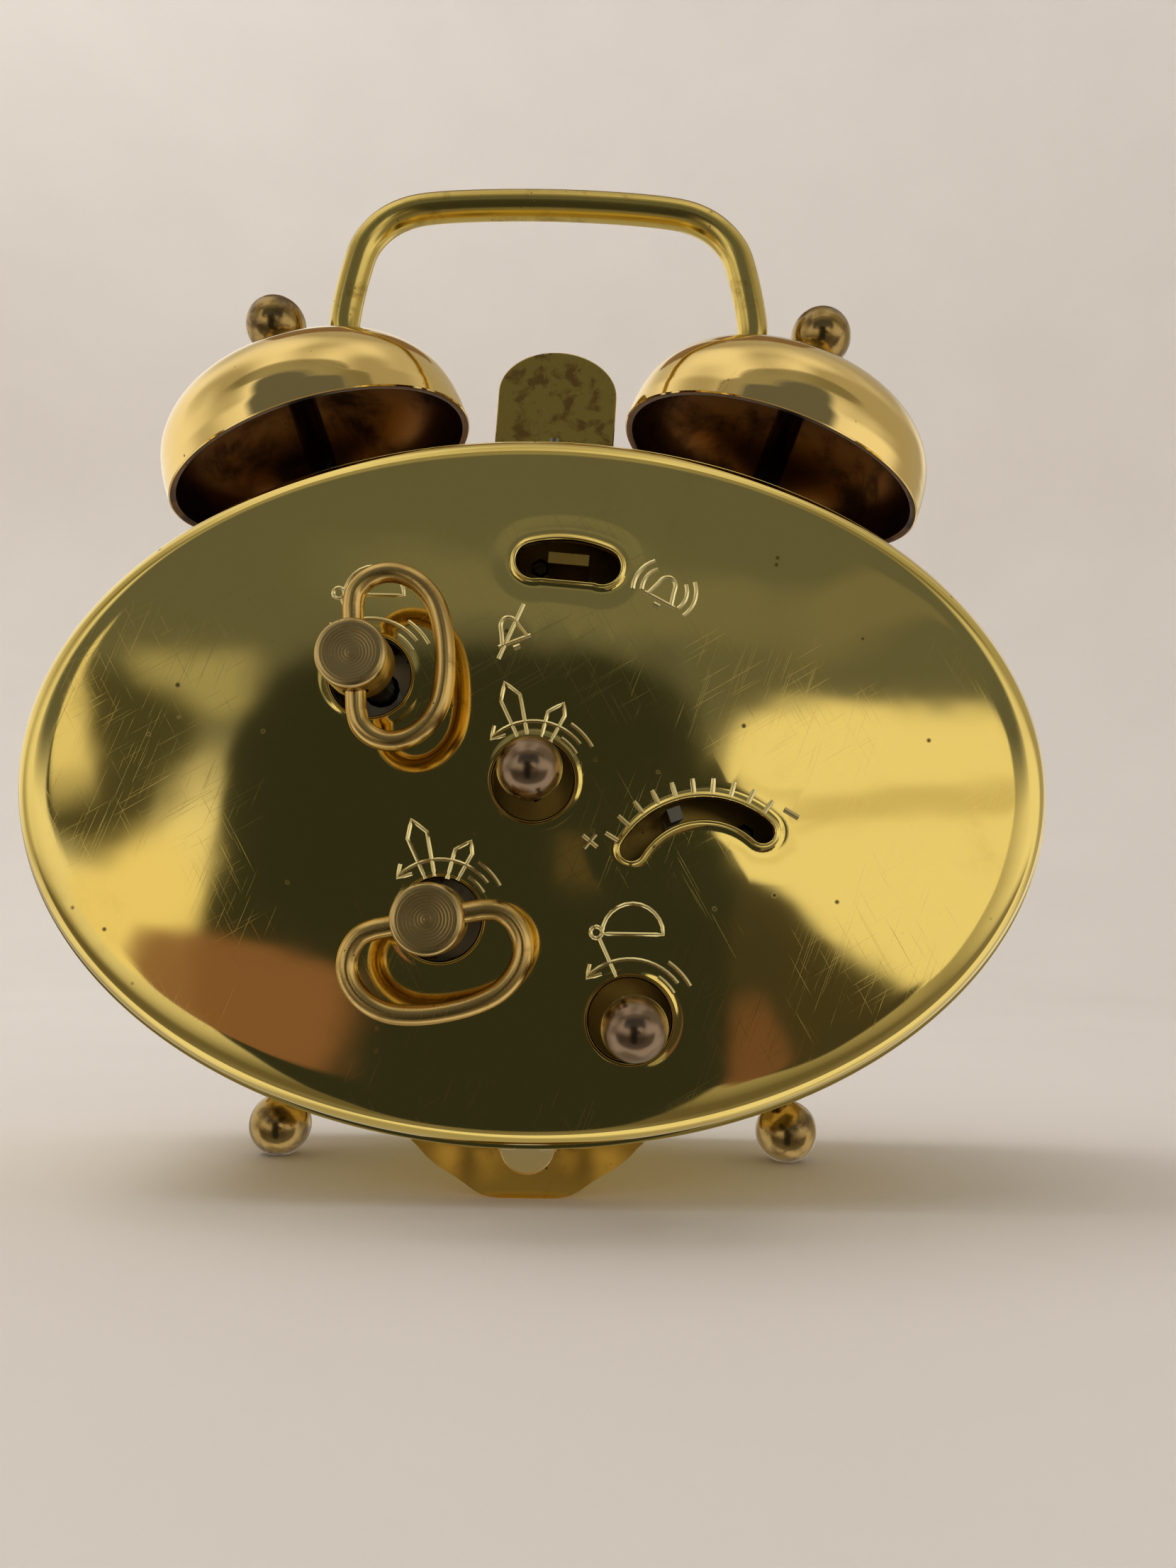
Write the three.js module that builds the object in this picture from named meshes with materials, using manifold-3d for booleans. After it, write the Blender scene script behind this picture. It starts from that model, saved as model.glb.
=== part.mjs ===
// Oval twin-bell travel alarm clock with a wind-up movement, in millimetres.
// +Z is up, the dial faces -Y and the back cover faces +Y. The clock stands at z = 0,
// and the origin is on that surface under the middle of the clock's box.
import * as THREE from "three";
import { mergeVertices } from "three/addons/utils/BufferGeometryUtils.js";
import Module from "manifold-3d";

// ---- case ----
const coverHalfWidth = 45; // back cover, over its beaded edge
const coverHalfHeight = 31.1;
const caseDepth = 34.8; // from the flat of the back cover to the front of the bezel
const sheet = 0.8; // brass sheet of the drum, the cover and the bezel
const drumProud = 0.6; // the drum shows this far outside the cover's edge
const bezelProud = 1.2; // the bezel grips the drum from outside
const underRoom = 4.75; // from the cover's lowest edge down to the table
const seat = 0.3; // gap between pieces that rest on each other
const skirtDepth = 2.4; // of the cover's skirt inside the drum
const running = 0.25; // gap round a piece that turns in a hole

// ---- on the back cover: places are x, z from the case centre ----
const arborHole = 3.5;
const timeWinding = { x: 7.7, z: -12.1 };
const alarmWinding = { x: 14.4, z: 8.85 };
const alarmSetting = { x: -8.6, z: -20.3 };
const centre = { x: 0, z: 0 };
const balance = { x: -14.9, z: -9.6 };
const regulatorReach = 7.35; // from the balance to the middle of its arc slot
const regulatorLean = 8.6; // degrees from straight up, towards +X
const regulatorSweep = 51;
const regulatorSlot = 1.9;
const regulatorSet = 11.4; // where the lever stands in its slot
const regulatorEnd = -1; // the lever's end lies below the cover
const stopPivot = { x: -2.05, z: 10.5 };
const stopReach = 9.25;
const stopLean = -4.2;
const stopSweep = 19;
const stopSlot = 3.2;
const stopTab = 3.6;
const stopEnd = -0.3;

// ---- keys and knobs ----
const knobRadius = 2.65;
const knobStand = 8; // knob centre behind the cover
const studRadius = 2.9;
const studStand = 9.2; // stud face behind the cover
const studLength = 6.4;
const bailWire = 0.85;
const bailHalf = 7.0; // centre line of the loop, along its pivot
const bailReach = 7.35; // centre line of the loop, away from its pivot
const bailStand = 7.0; // pivot behind the cover
const alarmBailTurn = 94; // degrees that each key has turned from hanging straight down
const timeBailTurn = 11;

// ---- bells, handle, hammer ----
const bellLevel = 0.387; // bells, handle and hammer between the plates, see level()
const bellRise = 3.4; // middle of the rim above the cover's top edge
const bellGap = 8.231; // from the middle of the clock to the nearest point of a rim
const bellLean = 20.2;
const bellRadius = 15.95;
const bellHeight = 11.6;
const bellSheet = 0.8;
const postRadius = 1.45;
const threadRadius = 0.9;
const finialRise = 5; // finial centre above the bell's crown
const finialRadius = 3.15;
const handleWire = 1.6;
const eyeletThick = 1.0;
const eyeletRadius = 2.9;
const handleRise = 33.3; // centre of the wire above the cover's top edge
const hammerDrop = 10.1; // the hammer's arbor below the cover's top edge
const hammerLean = -2.8; // the hammer rests nearer to one bell
const hammerGap = 2.031; // from the side of its head to the nearest point of a rim
const hammerFoot = 4.9; // the hammer's head above the cover's top edge
const hammerHeight = 11.5;
const hammerThick = 1.2;
const hammerSwing = 8;

// ---- feet ----
const footSetback = 12.8; // behind the front of the case
const footSpread = 25.7; // from the middle of the clock
const footRadius = 3.1;
const footSink = 0.2; // depth of the flat under each ball
const footLean = 22;
const rearFootSheet = 0.8;

// ---- movement ----
const plateInset = { x: 8, z: 4.1 }; // inside the edge of the cover
const plateThick = 1;
const backRoom = 7.5; // from the cover to the rear plate
const motionRoom = 4.7; // between the front plate and the dial
const dialThick = 0.5;
const glassRoom = 4.6; // from the dial's face to the front of the bezel
const glassThick = 1.2;
const glassRise = 1.8; // the glass stands this far in front of the bezel
const pillarRadius = 1.6;
const pillarInset = 16; // from the sides of the cover
const pillarHeight = 13.5; // above and below the middle
const arborRadius = 0.6;
const windingRadius = 1.4;
const wheelThick = 0.9;
const springLevels = [0.258, 0.774]; // both edges of the mainsprings, see level()
const springWire = 0.5;

// ---- shares of a circle and fineness of round pieces ----
const fullTurn = 2 * Math.PI;
const ovalSides = 48;
const roundSides = 16;
const arborSides = 6;

// ---- worked out from the sizes above ----
const degree = Math.PI / 180;
const drumHalfWidth = coverHalfWidth + drumProud;
const drumHalfHeight = coverHalfHeight + drumProud;
const ovalStretch = coverHalfWidth - coverHalfHeight;
const frontRoom = glassRoom + dialThick + motionRoom;
const plateGap = caseDepth - frontRoom - backRoom - 2 * plateThick;
const plateHalfWidth = coverHalfWidth - plateInset.x;
const plateHalfHeight = coverHalfHeight - plateInset.z;
const pillarAt = { x: coverHalfWidth - pillarInset, z: pillarHeight };
const rearPlateBack = -backRoom;
const rearPlateFront = rearPlateBack - plateThick;
const frontPlateBack = rearPlateFront - plateGap;
const frontPlateFront = frontPlateBack - plateThick;
const bellDepth = -level(bellLevel); // in front of the cover
const bellInset = bellRadius * Math.cos(bellLean * degree);
const bellAt = { x: bellGap + bellInset, z: coverHalfHeight + bellRise }; // middle of the rim
const finialStand = bellHeight + finialRise;
const handleTop = coverHalfHeight + handleRise;
const hammerPivot = { x: 0, z: coverHalfHeight - hammerDrop };
const hammerHalf = bellGap - hammerGap;
const hammerBottom = coverHalfHeight + hammerFoot;
const hammerTop = hammerBottom + hammerHeight;
const standHeight = coverHalfHeight + underRoom; // case centre above the table
const footDepth = caseDepth - footSetback;
const footAt = { x: footSpread, z: footRadius - standHeight - footSink };
const dialBack = frontPlateFront - motionRoom;
const dialFront = dialBack - dialThick;
const drumFront = dialFront - sheet;
const drumBack = -2.9;
const skirtEnd = skirtDepth - drumBack - seat;
const rearFootDepth = skirtEnd; // the foot stands against the cover's skirt
const third = polar(centre, 9.52, 150);
const fourth = polar(third, 8.4, 200);
const escape = polar(fourth, 6.72, 191.4);
const pallet = between(balance, escape, 7.2);
const alarmEscape = { x: 9, z: hammerPivot.z - 0.5 };
const minuteWheelAt = polar(centre, 7.2, 60);
const through = 2 * caseDepth; // length of a cut that passes right through

const wasm = await Module();
wasm.setup();

// ---- places and angles in the X-Z plane ----
function polar(from, reach, angle) {
  const turn = (angle * Math.PI) / 180;
  return { x: from.x + reach * Math.cos(turn), z: from.z + reach * Math.sin(turn) };
}

function distance(from, to) {
  return Math.hypot(to.x - from.x, to.z - from.z);
}

function between(from, to, reach) {
  const share = reach / distance(from, to);
  return { x: from.x + share * (to.x - from.x), z: from.z + share * (to.z - from.z) };
}

function heading(from, to) {
  return Math.atan2(to.z - from.z, to.x - from.x);
}

// How far up the leaning line through a point the drum's oval lies.
function drumAlong(at, lean) {
  const [s, c] = [Math.sin(lean * degree), Math.cos(lean * degree)];
  const [a, b] = [drumHalfWidth ** 2, drumHalfHeight ** 2];
  const square = (s * s) / a + (c * c) / b;
  const half = (at.x * s) / a + (at.z * c) / b;
  const rest = (at.x * at.x) / a + (at.z * at.z) / b - 1;
  const root = Math.sqrt(half * half - square * rest);
  const near = at.z > 0 ? root : -root;
  return (-half + near) / square;
}

// ---- solids: every function takes and gives plain geometry ----
function toSolid(geometry) {
  const bare = geometry.clone();
  bare.deleteAttribute("normal");
  bare.deleteAttribute("uv");
  const merged = mergeVertices(bare, 1e-4);
  const at = merged.attributes.position;
  const corners = merged.index.array;
  const [p, q, r] = [new THREE.Vector3(), new THREE.Vector3(), new THREE.Vector3()];
  const faces = [];
  let volume = 0;
  for (let i = 0; i < corners.length; i += 3) {
    const [a, b, c] = [corners[i], corners[i + 1], corners[i + 2]];
    if (a === b || b === c || c === a) continue;
    faces.push(a, b, c);
    p.fromBufferAttribute(at, a);
    q.fromBufferAttribute(at, b);
    r.fromBufferAttribute(at, c);
    volume += p.dot(q.cross(r));
  }
  if (volume < 0) faces.reverse();
  const triVerts = Uint32Array.from(faces);
  return new wasm.Manifold(new wasm.Mesh({ numProp: 3, vertProperties: at.array, triVerts }));
}

function fromSolid(made) {
  const { vertProperties, triVerts } = made.getMesh();
  const geometry = new THREE.BufferGeometry();
  geometry.setAttribute("position", new THREE.BufferAttribute(vertProperties, 3));
  geometry.setIndex(new THREE.BufferAttribute(triVerts, 1));
  return geometry;
}

function join(first, ...others) {
  return fromSolid(others.reduce((made, next) => made.add(toSolid(next)), toSolid(first)));
}

function cut(first, ...others) {
  return fromSolid(others.reduce((made, next) => made.subtract(toSolid(next)), toSolid(first)));
}

// A round bar along Y, from its back end to its front end.
function rod(at, radius, back, front, sides = arborSides) {
  const bar = new THREE.CylinderGeometry(radius, radius, back - front, sides);
  return bar.translate(at.x, (back + front) / 2, at.z);
}

// A profile of [radius, y] points turned about the Y axis.
function turned(profile, sides = roundSides, at = centre) {
  const points = profile.map(([radius, y]) => new THREE.Vector2(radius, y));
  return new THREE.LatheGeometry(points, sides).translate(at.x, 0, at.z);
}

// The same profile round the case's oval: its radius is the half width there.
function ovalTurned(profile) {
  const geometry = turned(profile, ovalSides);
  const at = geometry.attributes.position;
  for (let i = 0; i < at.count; i += 1) {
    const radius = Math.hypot(at.getX(i), at.getZ(i));
    if (radius > ovalStretch) at.setZ(i, (at.getZ(i) * (radius - ovalStretch)) / radius);
  }
  return geometry;
}

// A flat outline drawn in x, z and made solid from its back face towards the front.
function slab(outline, back, thick, curveSegments = 10) {
  const options = { depth: thick, bevelEnabled: false, curveSegments };
  return new THREE.ExtrudeGeometry(outline, options).rotateX(Math.PI / 2).translate(0, back, 0);
}

function outlineOf(points) {
  return new THREE.Shape(points.map(({ x, z }) => new THREE.Vector2(x, z)));
}

// A straight bar of sheet between two places, square at its ends.
function strip(from, to, width, back, thick) {
  const turn = heading(from, to) + Math.PI / 2;
  const [dx, dz] = [(Math.cos(turn) * width) / 2, (Math.sin(turn) * width) / 2];
  const corners = [
    { x: from.x - dx, z: from.z - dz },
    { x: to.x - dx, z: to.z - dz },
    { x: to.x + dx, z: to.z + dz },
    { x: from.x + dx, z: from.z + dz },
  ];
  return slab(outlineOf(corners), back, thick);
}

// An arc-shaped slot with round ends, as an outline.
function arcSlot(pivot, reach, lean, sweep, width) {
  const [middle, half] = [(90 - lean) * degree, sweep * degree];
  const ends = [middle + half, middle - half];
  const outline = new THREE.Shape();
  outline.absarc(pivot.x, pivot.z, reach + width / 2, ends[0], ends[1], true);
  const right = polar(pivot, reach, ends[1] / degree);
  outline.absarc(right.x, right.z, width / 2, ends[1], ends[1] - Math.PI, true);
  outline.absarc(pivot.x, pivot.z, reach - width / 2, ends[1], ends[0], false);
  const left = polar(pivot, reach, ends[0] / degree);
  outline.absarc(left.x, left.z, width / 2, ends[0] + Math.PI, ends[0], true);
  return outline;
}

// A wire of round section along a smooth line of x, z points at one depth.
function bentWire(points, y, radius, steps, wireSides = 8) {
  const path = new THREE.CatmullRomCurve3(points.map(({ x, z }) => new THREE.Vector3(x, y, z)));
  const section = new THREE.Shape().absarc(0, 0, radius, 0, fullTurn);
  const options = { steps, extrudePath: path, curveSegments: wireSides / 2 };
  return new THREE.ExtrudeGeometry(section, options);
}

// Moves a piece turned about Y onto a line that leans in the X-Z plane.
function leaning(geometry, at, lean, depth) {
  return geometry.rotateX(Math.PI / 2).rotateY(lean * degree).translate(at.x, -depth, at.z);
}

// A ball's profile between two heights, as [radius, y] points.
function ballProfile(radius, middle, from, to, steps) {
  const [first, last] = [from, to].map((y) => Math.asin(Math.min(1, (y - middle) / radius)));
  return Array.from({ length: steps + 1 }, (_, i) => {
    const angle = first + ((last - first) * i) / steps;
    const onAxis = Math.cos(angle) < 1e-6;
    return [onAxis ? 0 : radius * Math.cos(angle), middle + radius * Math.sin(angle)];
  });
}

// ---- toothed wheels ----
function moduleBetween(from, to, teeth, leaves) {
  return (2 * distance(from, to)) / (teeth + leaves);
}

// A wheel's outline with pointed gaps, one tooth on the line to its partner.
function wheelOutline(at, teeth, module, lead) {
  const [tip, root] = [module * (teeth / 2 + 0.85), module * (teeth / 2 - 1.25)];
  const step = fullTurn / teeth;
  const points = [];
  for (let i = 0; i < teeth; i += 1) {
    const middle = lead + i * step;
    points.push(polar(at, root, (middle - step / 2) / degree));
    points.push(polar(at, tip, (middle - 0.09 * step) / degree));
    points.push(polar(at, tip, (middle + 0.09 * step) / degree));
  }
  return outlineOf(points);
}

// A pinion's outline with slim leaves, one gap on the line to its partner.
function pinionOutline(at, leaves, module, lead) {
  const [tip, root] = [module * (leaves / 2 + 0.75), module * (leaves / 2 - 1.05)];
  const step = fullTurn / leaves;
  const points = [];
  for (let i = 0; i < leaves; i += 1) {
    const middle = lead + (i + 0.5) * step;
    points.push(polar(at, root, (middle - 0.17 * step) / degree));
    points.push(polar(at, tip, (middle - 0.06 * step) / degree));
    points.push(polar(at, tip, (middle + 0.06 * step) / degree));
    points.push(polar(at, root, (middle + 0.17 * step) / degree));
  }
  return outlineOf(points);
}

function wheel(at, partner, teeth, module, back, thick = wheelThick) {
  return slab(wheelOutline(at, teeth, module, heading(at, partner)), back, thick);
}

function pinion(at, partner, leaves, module, back, thick) {
  return slab(pinionOutline(at, leaves, module, heading(at, partner)), back, thick);
}

// An arbor that runs in the front plate and in the rear plate.
function arbor(at) {
  return rod(at, arborRadius, rearPlateBack, frontPlateFront);
}

// A place behind the inner face of the front plate, in millimetres.
function inside(gap) {
  return frontPlateBack + gap;
}

// A place between the plates: 0 at the front plate and 1 at the rear plate.
function level(share) {
  return frontPlateBack + share * plateGap;
}

// ---- the clock and its pieces ----
const clock = new THREE.Group();
const rearmost = Math.max(knobStand + knobRadius, studStand, bailStand + bailWire);
const foremost = -caseDepth - glassRise;
clock.position.set(0, -(rearmost + foremost) / 2, standHeight);

function finish(color, roughness, metalness) {
  return new THREE.MeshStandardMaterial({ color, roughness, metalness, flatShading: true });
}

const brass = () => finish(0xd9be62, 0.28, 1);
const bellBrass = () => finish(0xc9a050, 0.25, 1);
const wornBrass = () => finish(0x8c7a2e, 0.4, 1);
const movementBrass = () => finish(0xb89a4e, 0.35, 1);
const steel = () => finish(0x8a8680, 0.35, 1);
const darkSteel = () => finish(0x3f3c3a, 0.45, 1);
const glass = () => finish(0xe8f0f0, 0.05, 0);
const paint = () => finish(0xefe6d0, 0.6, 0);
const black = () => finish(0x1c1a18, 0.5, 0.2);

function add(name, geometry, material) {
  const whole = fromSolid(toSolid(geometry));
  whole.computeVertexNormals();
  const mesh = new THREE.Mesh(whole, material);
  mesh.name = name;
  clock.add(mesh);
}

const sides = [
  ["left", 1],
  ["right", -1],
];
const mirrored = (at, side) => ({ x: side * at.x, z: at.z });

// ---- case drum: a band of sheet with holes for the posts, feet, hammer and rear foot ----
function caseDrum() {
  const inner = drumHalfWidth - sheet;
  let band = ovalTurned([
    [inner, drumBack],
    [drumHalfWidth, drumBack],
    [drumHalfWidth, drumFront],
    [inner, drumFront],
    [inner, drumBack],
  ]);
  const threadHole = threadRadius + running;
  for (const [, side] of sides) {
    const bellLine = drumAlong(bellAt, bellLean);
    const bellHole = turned(bar(threadHole, bellLine - 4, bellLine + 3), arborSides);
    band = cut(band, leaning(bellHole, mirrored(bellAt, side), side * bellLean, bellDepth));
    const footLine = drumAlong(footAt, -footLean);
    const footHole = turned(bar(threadHole, footLine - 3, footLine + 4), arborSides);
    band = cut(band, leaning(footHole, mirrored(footAt, side), -side * footLean, footDepth));
  }
  const swing = Math.sin(hammerSwing * degree) * (drumHalfHeight - hammerPivot.z);
  const slotHalf = swing + handleWire;
  const slotOutline = new THREE.Shape([
    new THREE.Vector2(-slotHalf, drumHalfHeight - 4),
    new THREE.Vector2(slotHalf, drumHalfHeight - 4),
    new THREE.Vector2(slotHalf, drumHalfHeight + 2),
    new THREE.Vector2(-slotHalf, drumHalfHeight + 2),
  ]);
  const hammerSlot = slab(slotOutline, -bellDepth + 1.6, 3.2);
  const lugHalf = 4 + seat;
  const lugRoom = new THREE.BoxGeometry(2 * lugHalf, rearFootSheet + 2 * seat, 6);
  lugRoom.translate(0, -rearFootDepth - rearFootSheet / 2, -drumHalfHeight);
  return cut(band, hammerSlot, lugRoom);
}

function bar(radius, low, high) {
  return [
    [0, low],
    [radius, low],
    [radius, high],
    [0, high],
  ];
}

add("case_drum", caseDrum(), brass());

// ---- back cover: a shallow oval pan with its openings ----
function backCover() {
  const [edge, field] = [coverHalfWidth, coverHalfWidth - 2.4];
  const skirt = drumHalfWidth - sheet - seat;
  const rim = drumBack + seat;
  const pan = ovalTurned([
    [0, 0],
    [field, 0],
    [edge - 0.7, -0.8],
    [edge, -1.9],
    [edge, rim],
    [skirt, rim],
    [skirt, -skirtEnd],
    [skirt - sheet, -skirtEnd],
    [skirt - sheet, -1.7],
    [field - 0.4, -sheet],
    [0, -sheet],
  ]);
  const holes = [centre, alarmWinding, timeWinding, alarmSetting].map((at) =>
    rod(at, arborHole, 1, -2, roundSides),
  );
  const [regulatorAngle, stopAngle] = [regulatorSweep, stopSweep];
  const arc = arcSlot(balance, regulatorReach, regulatorLean, regulatorAngle, regulatorSlot);
  const stop = arcSlot(stopPivot, stopReach, stopLean, stopAngle, stopSlot);
  const notch = new THREE.BoxGeometry(2.2, 3, 1.6).translate(0, -3, -coverHalfHeight);
  return cut(pan, ...holes, slab(arc, 1, 3, 4), slab(stop, 1, 3, 3), notch);
}

add("back_cover", backCover(), brass());

// ---- bezel, glass and dial ----
const bezelOuter = drumHalfWidth + bezelProud;
const opening = drumHalfWidth - 6.2;
const glassHalf = drumHalfWidth - 4.5;
const glassLip = -caseDepth + 1.5;

add(
  "front_bezel",
  ovalTurned([
    [drumHalfWidth + seat, drumFront + 2.8],
    [bezelOuter, drumFront + 2.8],
    [bezelOuter, drumFront - 1.4],
    [bezelOuter - 1.2, -caseDepth + 0.7],
    [bezelOuter - 3.2, -caseDepth],
    [opening, -caseDepth + 0.6],
    [opening, glassLip],
    [glassHalf + seat, glassLip],
    [glassHalf + seat, drumFront - seat],
    [drumHalfWidth + seat, drumFront - seat],
    [drumHalfWidth + seat, drumFront + 2.8],
  ]),
  brass(),
);

// The glass is a low dome with a flat lip that the bezel holds.
function domedGlass() {
  const lip = glassLip + seat;
  const domeEdge = opening - 0.5;
  const rise = lip - 0.9 - foremost;
  const [near, far] = [0.45, 0.78]; // shares of the dome's half width
  const height = (share) => foremost + rise * share * share;
  return ovalTurned([
    [0, foremost],
    [domeEdge * near, height(near)],
    [domeEdge * far, height(far)],
    [domeEdge, lip - 0.9],
    [domeEdge, lip],
    [glassHalf, lip],
    [glassHalf, lip + glassThick],
    [domeEdge - glassThick, lip + glassThick],
    [domeEdge * far, height(far) + glassThick],
    [0, foremost + glassThick],
  ]);
}

add("crystal", domedGlass(), glass());

const centreArborRadius = 0.8;
const hourPipe = [centreArborRadius + running, centreArborRadius + running + 0.45];
const alarmPipe = [hourPipe[1] + running, hourPipe[1] + running + 0.45];
const dialEdge = drumHalfWidth - sheet - 0.5;
const dialFootAt = { x: 24, z: 0 };
const dialFoot = (side) =>
  rod(mirrored(dialFootAt, side), 0.8, frontPlateFront - seat, dialBack - 0.1);

add(
  "dial",
  cut(
    join(ovalTurned(bar(dialEdge, dialFront, dialBack)), dialFoot(1), dialFoot(-1)),
    rod(centre, alarmPipe[1] + running, dialBack + 1, dialFront - 1, 16),
  ),
  paint(),
);

// ---- feet: turned brass balls on necks, and a stamped sheet foot behind ----
// Their profiles run outwards along the foot's own leaning line from the middle of the ball.
const floorLevel = -standHeight;

function ballFoot(side) {
  const wall = drumAlong(footAt, -footLean);
  const collar = wall - seat - 0.1;
  const neck = 1.3;
  const ballStart = Math.sqrt(footRadius ** 2 - neck ** 2);
  const profile = [
    [0, -wall - sheet - 2],
    [threadRadius, -wall - sheet - 2],
    [threadRadius, -collar],
    [1.8, -collar],
    [1.8, -collar + 1.2],
    [neck, -collar + 1.5],
    ...ballProfile(footRadius, 0, -ballStart, footRadius, 6),
  ];
  const down = turned(profile).rotateX(Math.PI);
  const placed = leaning(down, mirrored(footAt, side), -side * footLean, footDepth);
  const ground = new THREE.BoxGeometry(20, 20, 4).translate(
    side * footAt.x,
    -footDepth,
    floorLevel - 2,
  );
  return cut(placed, ground);
}

for (const [name, side] of sides) add("ball_foot_" + name, ballFoot(side), brass());

// The rear foot's half outline above the table, from its top edge under the drum down.
const rearFootHalf = [
  [10.3, 5.25],
  [9.4, 3.65],
  [7.6, 2.45],
  [5.4, 1.65],
  [4.2, 0.75],
  [3.5, 0],
];

function rearFoot() {
  const topEdge = (x) => -drumHalfHeight * Math.sqrt(1 - (x / drumHalfWidth) ** 2) - seat;
  const outline = new THREE.Shape();
  const half = rearFootHalf.map(([x, z], i) => [x, i === 0 ? topEdge(x) : z - standHeight]);
  half.forEach(([x, z], i) => (i === 0 ? outline.moveTo(x, z) : outline.lineTo(x, z)));
  [...half].reverse().forEach(([x, z]) => outline.lineTo(-x, z));
  for (let x = -9; x <= 9; x += 3) outline.lineTo(x, topEdge(x));
  const back = -rearFootDepth;
  const arch = rod({ x: 0, z: -drumHalfHeight }, 2.4, back + 1, back - 2, 16);
  const lug = new THREE.BoxGeometry(1.4, rearFootSheet, 3.2);
  lug.translate(0, back - rearFootSheet / 2, -drumHalfHeight + 0.2);
  const lugs = [3.3, -3.3].map((x) => lug.clone().translate(x, 0, 0));
  const flange = new THREE.BoxGeometry(8, 4, 0.7).translate(0, back - 2, -drumHalfHeight + 1.75);
  return join(cut(slab(outline, back, rearFootSheet), arch), ...lugs, flange);
}

add("rear_foot", rearFoot(), brass());

// ---- bells: each leans outwards on a post; heights run along the post from the rim ----
function bell() {
  const outer = [
    [bellRadius, 0],
    [bellRadius * 0.99, 0.25 * bellHeight],
    [bellRadius * 0.87, 0.62 * bellHeight],
    [bellRadius * 0.6, 0.89 * bellHeight],
    [bellRadius * 0.26, 0.985 * bellHeight],
  ];
  const hole = threadRadius + running;
  const inner = outer.map(([radius, height], i) => [
    radius - bellSheet * (i < 3 ? 1 : 0.6),
    i === 0 ? 0 : height - bellSheet * (i < 2 ? 0.2 : 0.85),
  ]);
  const crown = [
    [hole, bellHeight],
    [hole, bellHeight - bellSheet],
  ];
  return turned([...outer, ...crown, ...inner.reverse(), outer[0]], 24);
}

// The post screws through the drum below and through the bell and handle above.
function bellPost() {
  const wall = drumAlong(bellAt, bellLean);
  const collar = wall + seat + 0.1;
  const shoulder = bellHeight - bellSheet - seat;
  return turned(
    [
      [0, wall - sheet - 2.4],
      [threadRadius, wall - sheet - 2.4],
      [threadRadius, collar],
      [2.3, collar],
      [2.3, collar + 1],
      [postRadius, collar + 1.3],
      [postRadius, shoulder],
      [threadRadius, shoulder],
      [threadRadius, finialStand - 0.6],
      [0, finialStand - 0.6],
    ],
    12,
  );
}

function postNut() {
  const wall = drumAlong(bellAt, bellLean);
  const back = wall - sheet - 0.5;
  const nut = turned(bar(2.1, back - 1.4, back), 6);
  return cut(nut, turned(bar(threadRadius + running, back - 3, back + 1), arborSides));
}

const eyeletBase = bellHeight + seat;
const finialBase = eyeletBase + eyeletThick + seat;

function finial() {
  const neck = 1.9;
  const ballStart = finialStand - Math.sqrt(finialRadius ** 2 - neck ** 2);
  const socket = threadRadius + running;
  return turned([
    [socket, finialBase],
    [neck, finialBase],
    ...ballProfile(finialRadius, finialStand, ballStart, finialStand + finialRadius, 6),
    [0, finialStand - 0.3],
    [socket, finialStand - 0.3],
    [socket, finialBase],
  ]);
}

for (const [name, side] of sides) {
  const onBell = (geometry) =>
    leaning(geometry, mirrored(bellAt, side), side * bellLean, bellDepth);
  add("bell_" + name, onBell(bell()), bellBrass());
  add("bell_post_" + name, onBell(bellPost()), darkSteel());
  add("bell_post_nut_" + name, onBell(postNut()), steel());
  add("finial_" + name, onBell(finial()), brass());
}

// ---- handle: one bent wire whose flattened ends sit on the bells' crowns ----
function handle() {
  const along = polar(bellAt, eyeletBase + eyeletThick / 2, 90 - bellLean);
  const legBase = polar(along, 6.6, 180 - bellLean);
  const half = [
    polar(legBase, 0.6, 270 - bellLean),
    polar(legBase, 2.2, 80),
    { x: legBase.x - 0.6, z: handleTop - 8 },
    { x: legBase.x - 1.9, z: handleTop - 4.4 },
    { x: legBase.x - 4.9, z: handleTop - 1.7 },
    { x: legBase.x - 9.8, z: handleTop - 0.5 },
  ];
  const mirror = half.map((at) => mirrored(at, -1)).reverse();
  const bow = bentWire([...half, { x: 0, z: handleTop }, ...mirror], -bellDepth, handleWire, 28);
  const ends = sides.map(([, side]) => {
    const disc = turned(bar(eyeletRadius, eyeletBase, eyeletBase + eyeletThick), 12);
    const tongue = new THREE.BoxGeometry(6.6, eyeletThick, 4);
    tongue.translate(-side * 3.3, eyeletBase + eyeletThick / 2, 0);
    const hole = turned(bar(threadRadius + running, eyeletBase - 1, finialBase + 1), arborSides);
    const flat = cut(join(disc, tongue), hole);
    return leaning(flat, mirrored(bellAt, side), side * bellLean, bellDepth);
  });
  return join(bow, ...ends);
}

add("handle", handle(), wornBrass());

// ---- movement frame: two plates, four pillars and the studs that pieces turn on ----
function plateOutline() {
  return new THREE.Shape().absellipse(0, 0, plateHalfWidth, plateHalfHeight, 0, fullTurn);
}

// A hole that leaves room round an arbor, whatever the number of its sides.
function bore(at, radius, back, front, boreSides = arborSides) {
  return rod(at, (radius + running) / Math.cos(Math.PI / boreSides), back, front, boreSides);
}

const pillars = [
  { x: pillarAt.x, z: pillarAt.z },
  { x: -pillarAt.x, z: pillarAt.z },
  { x: -pillarAt.x, z: -pillarAt.z },
  { x: pillarAt.x, z: -pillarAt.z },
];
const trainArbors = [third, fourth, escape, pallet, balance, alarmEscape, hammerPivot];
const minuteStud = 0.4;
const pivotStud = 0.6;
const timeClickPivot = polar(timeWinding, 6.6, -25);
const alarmClickPivot = polar(alarmWinding, 6.6, 25);
const timeSpringPost = polar(timeWinding, 10.5, -45);
const alarmSpringPost = polar(alarmWinding, 10.5, 20);

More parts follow.
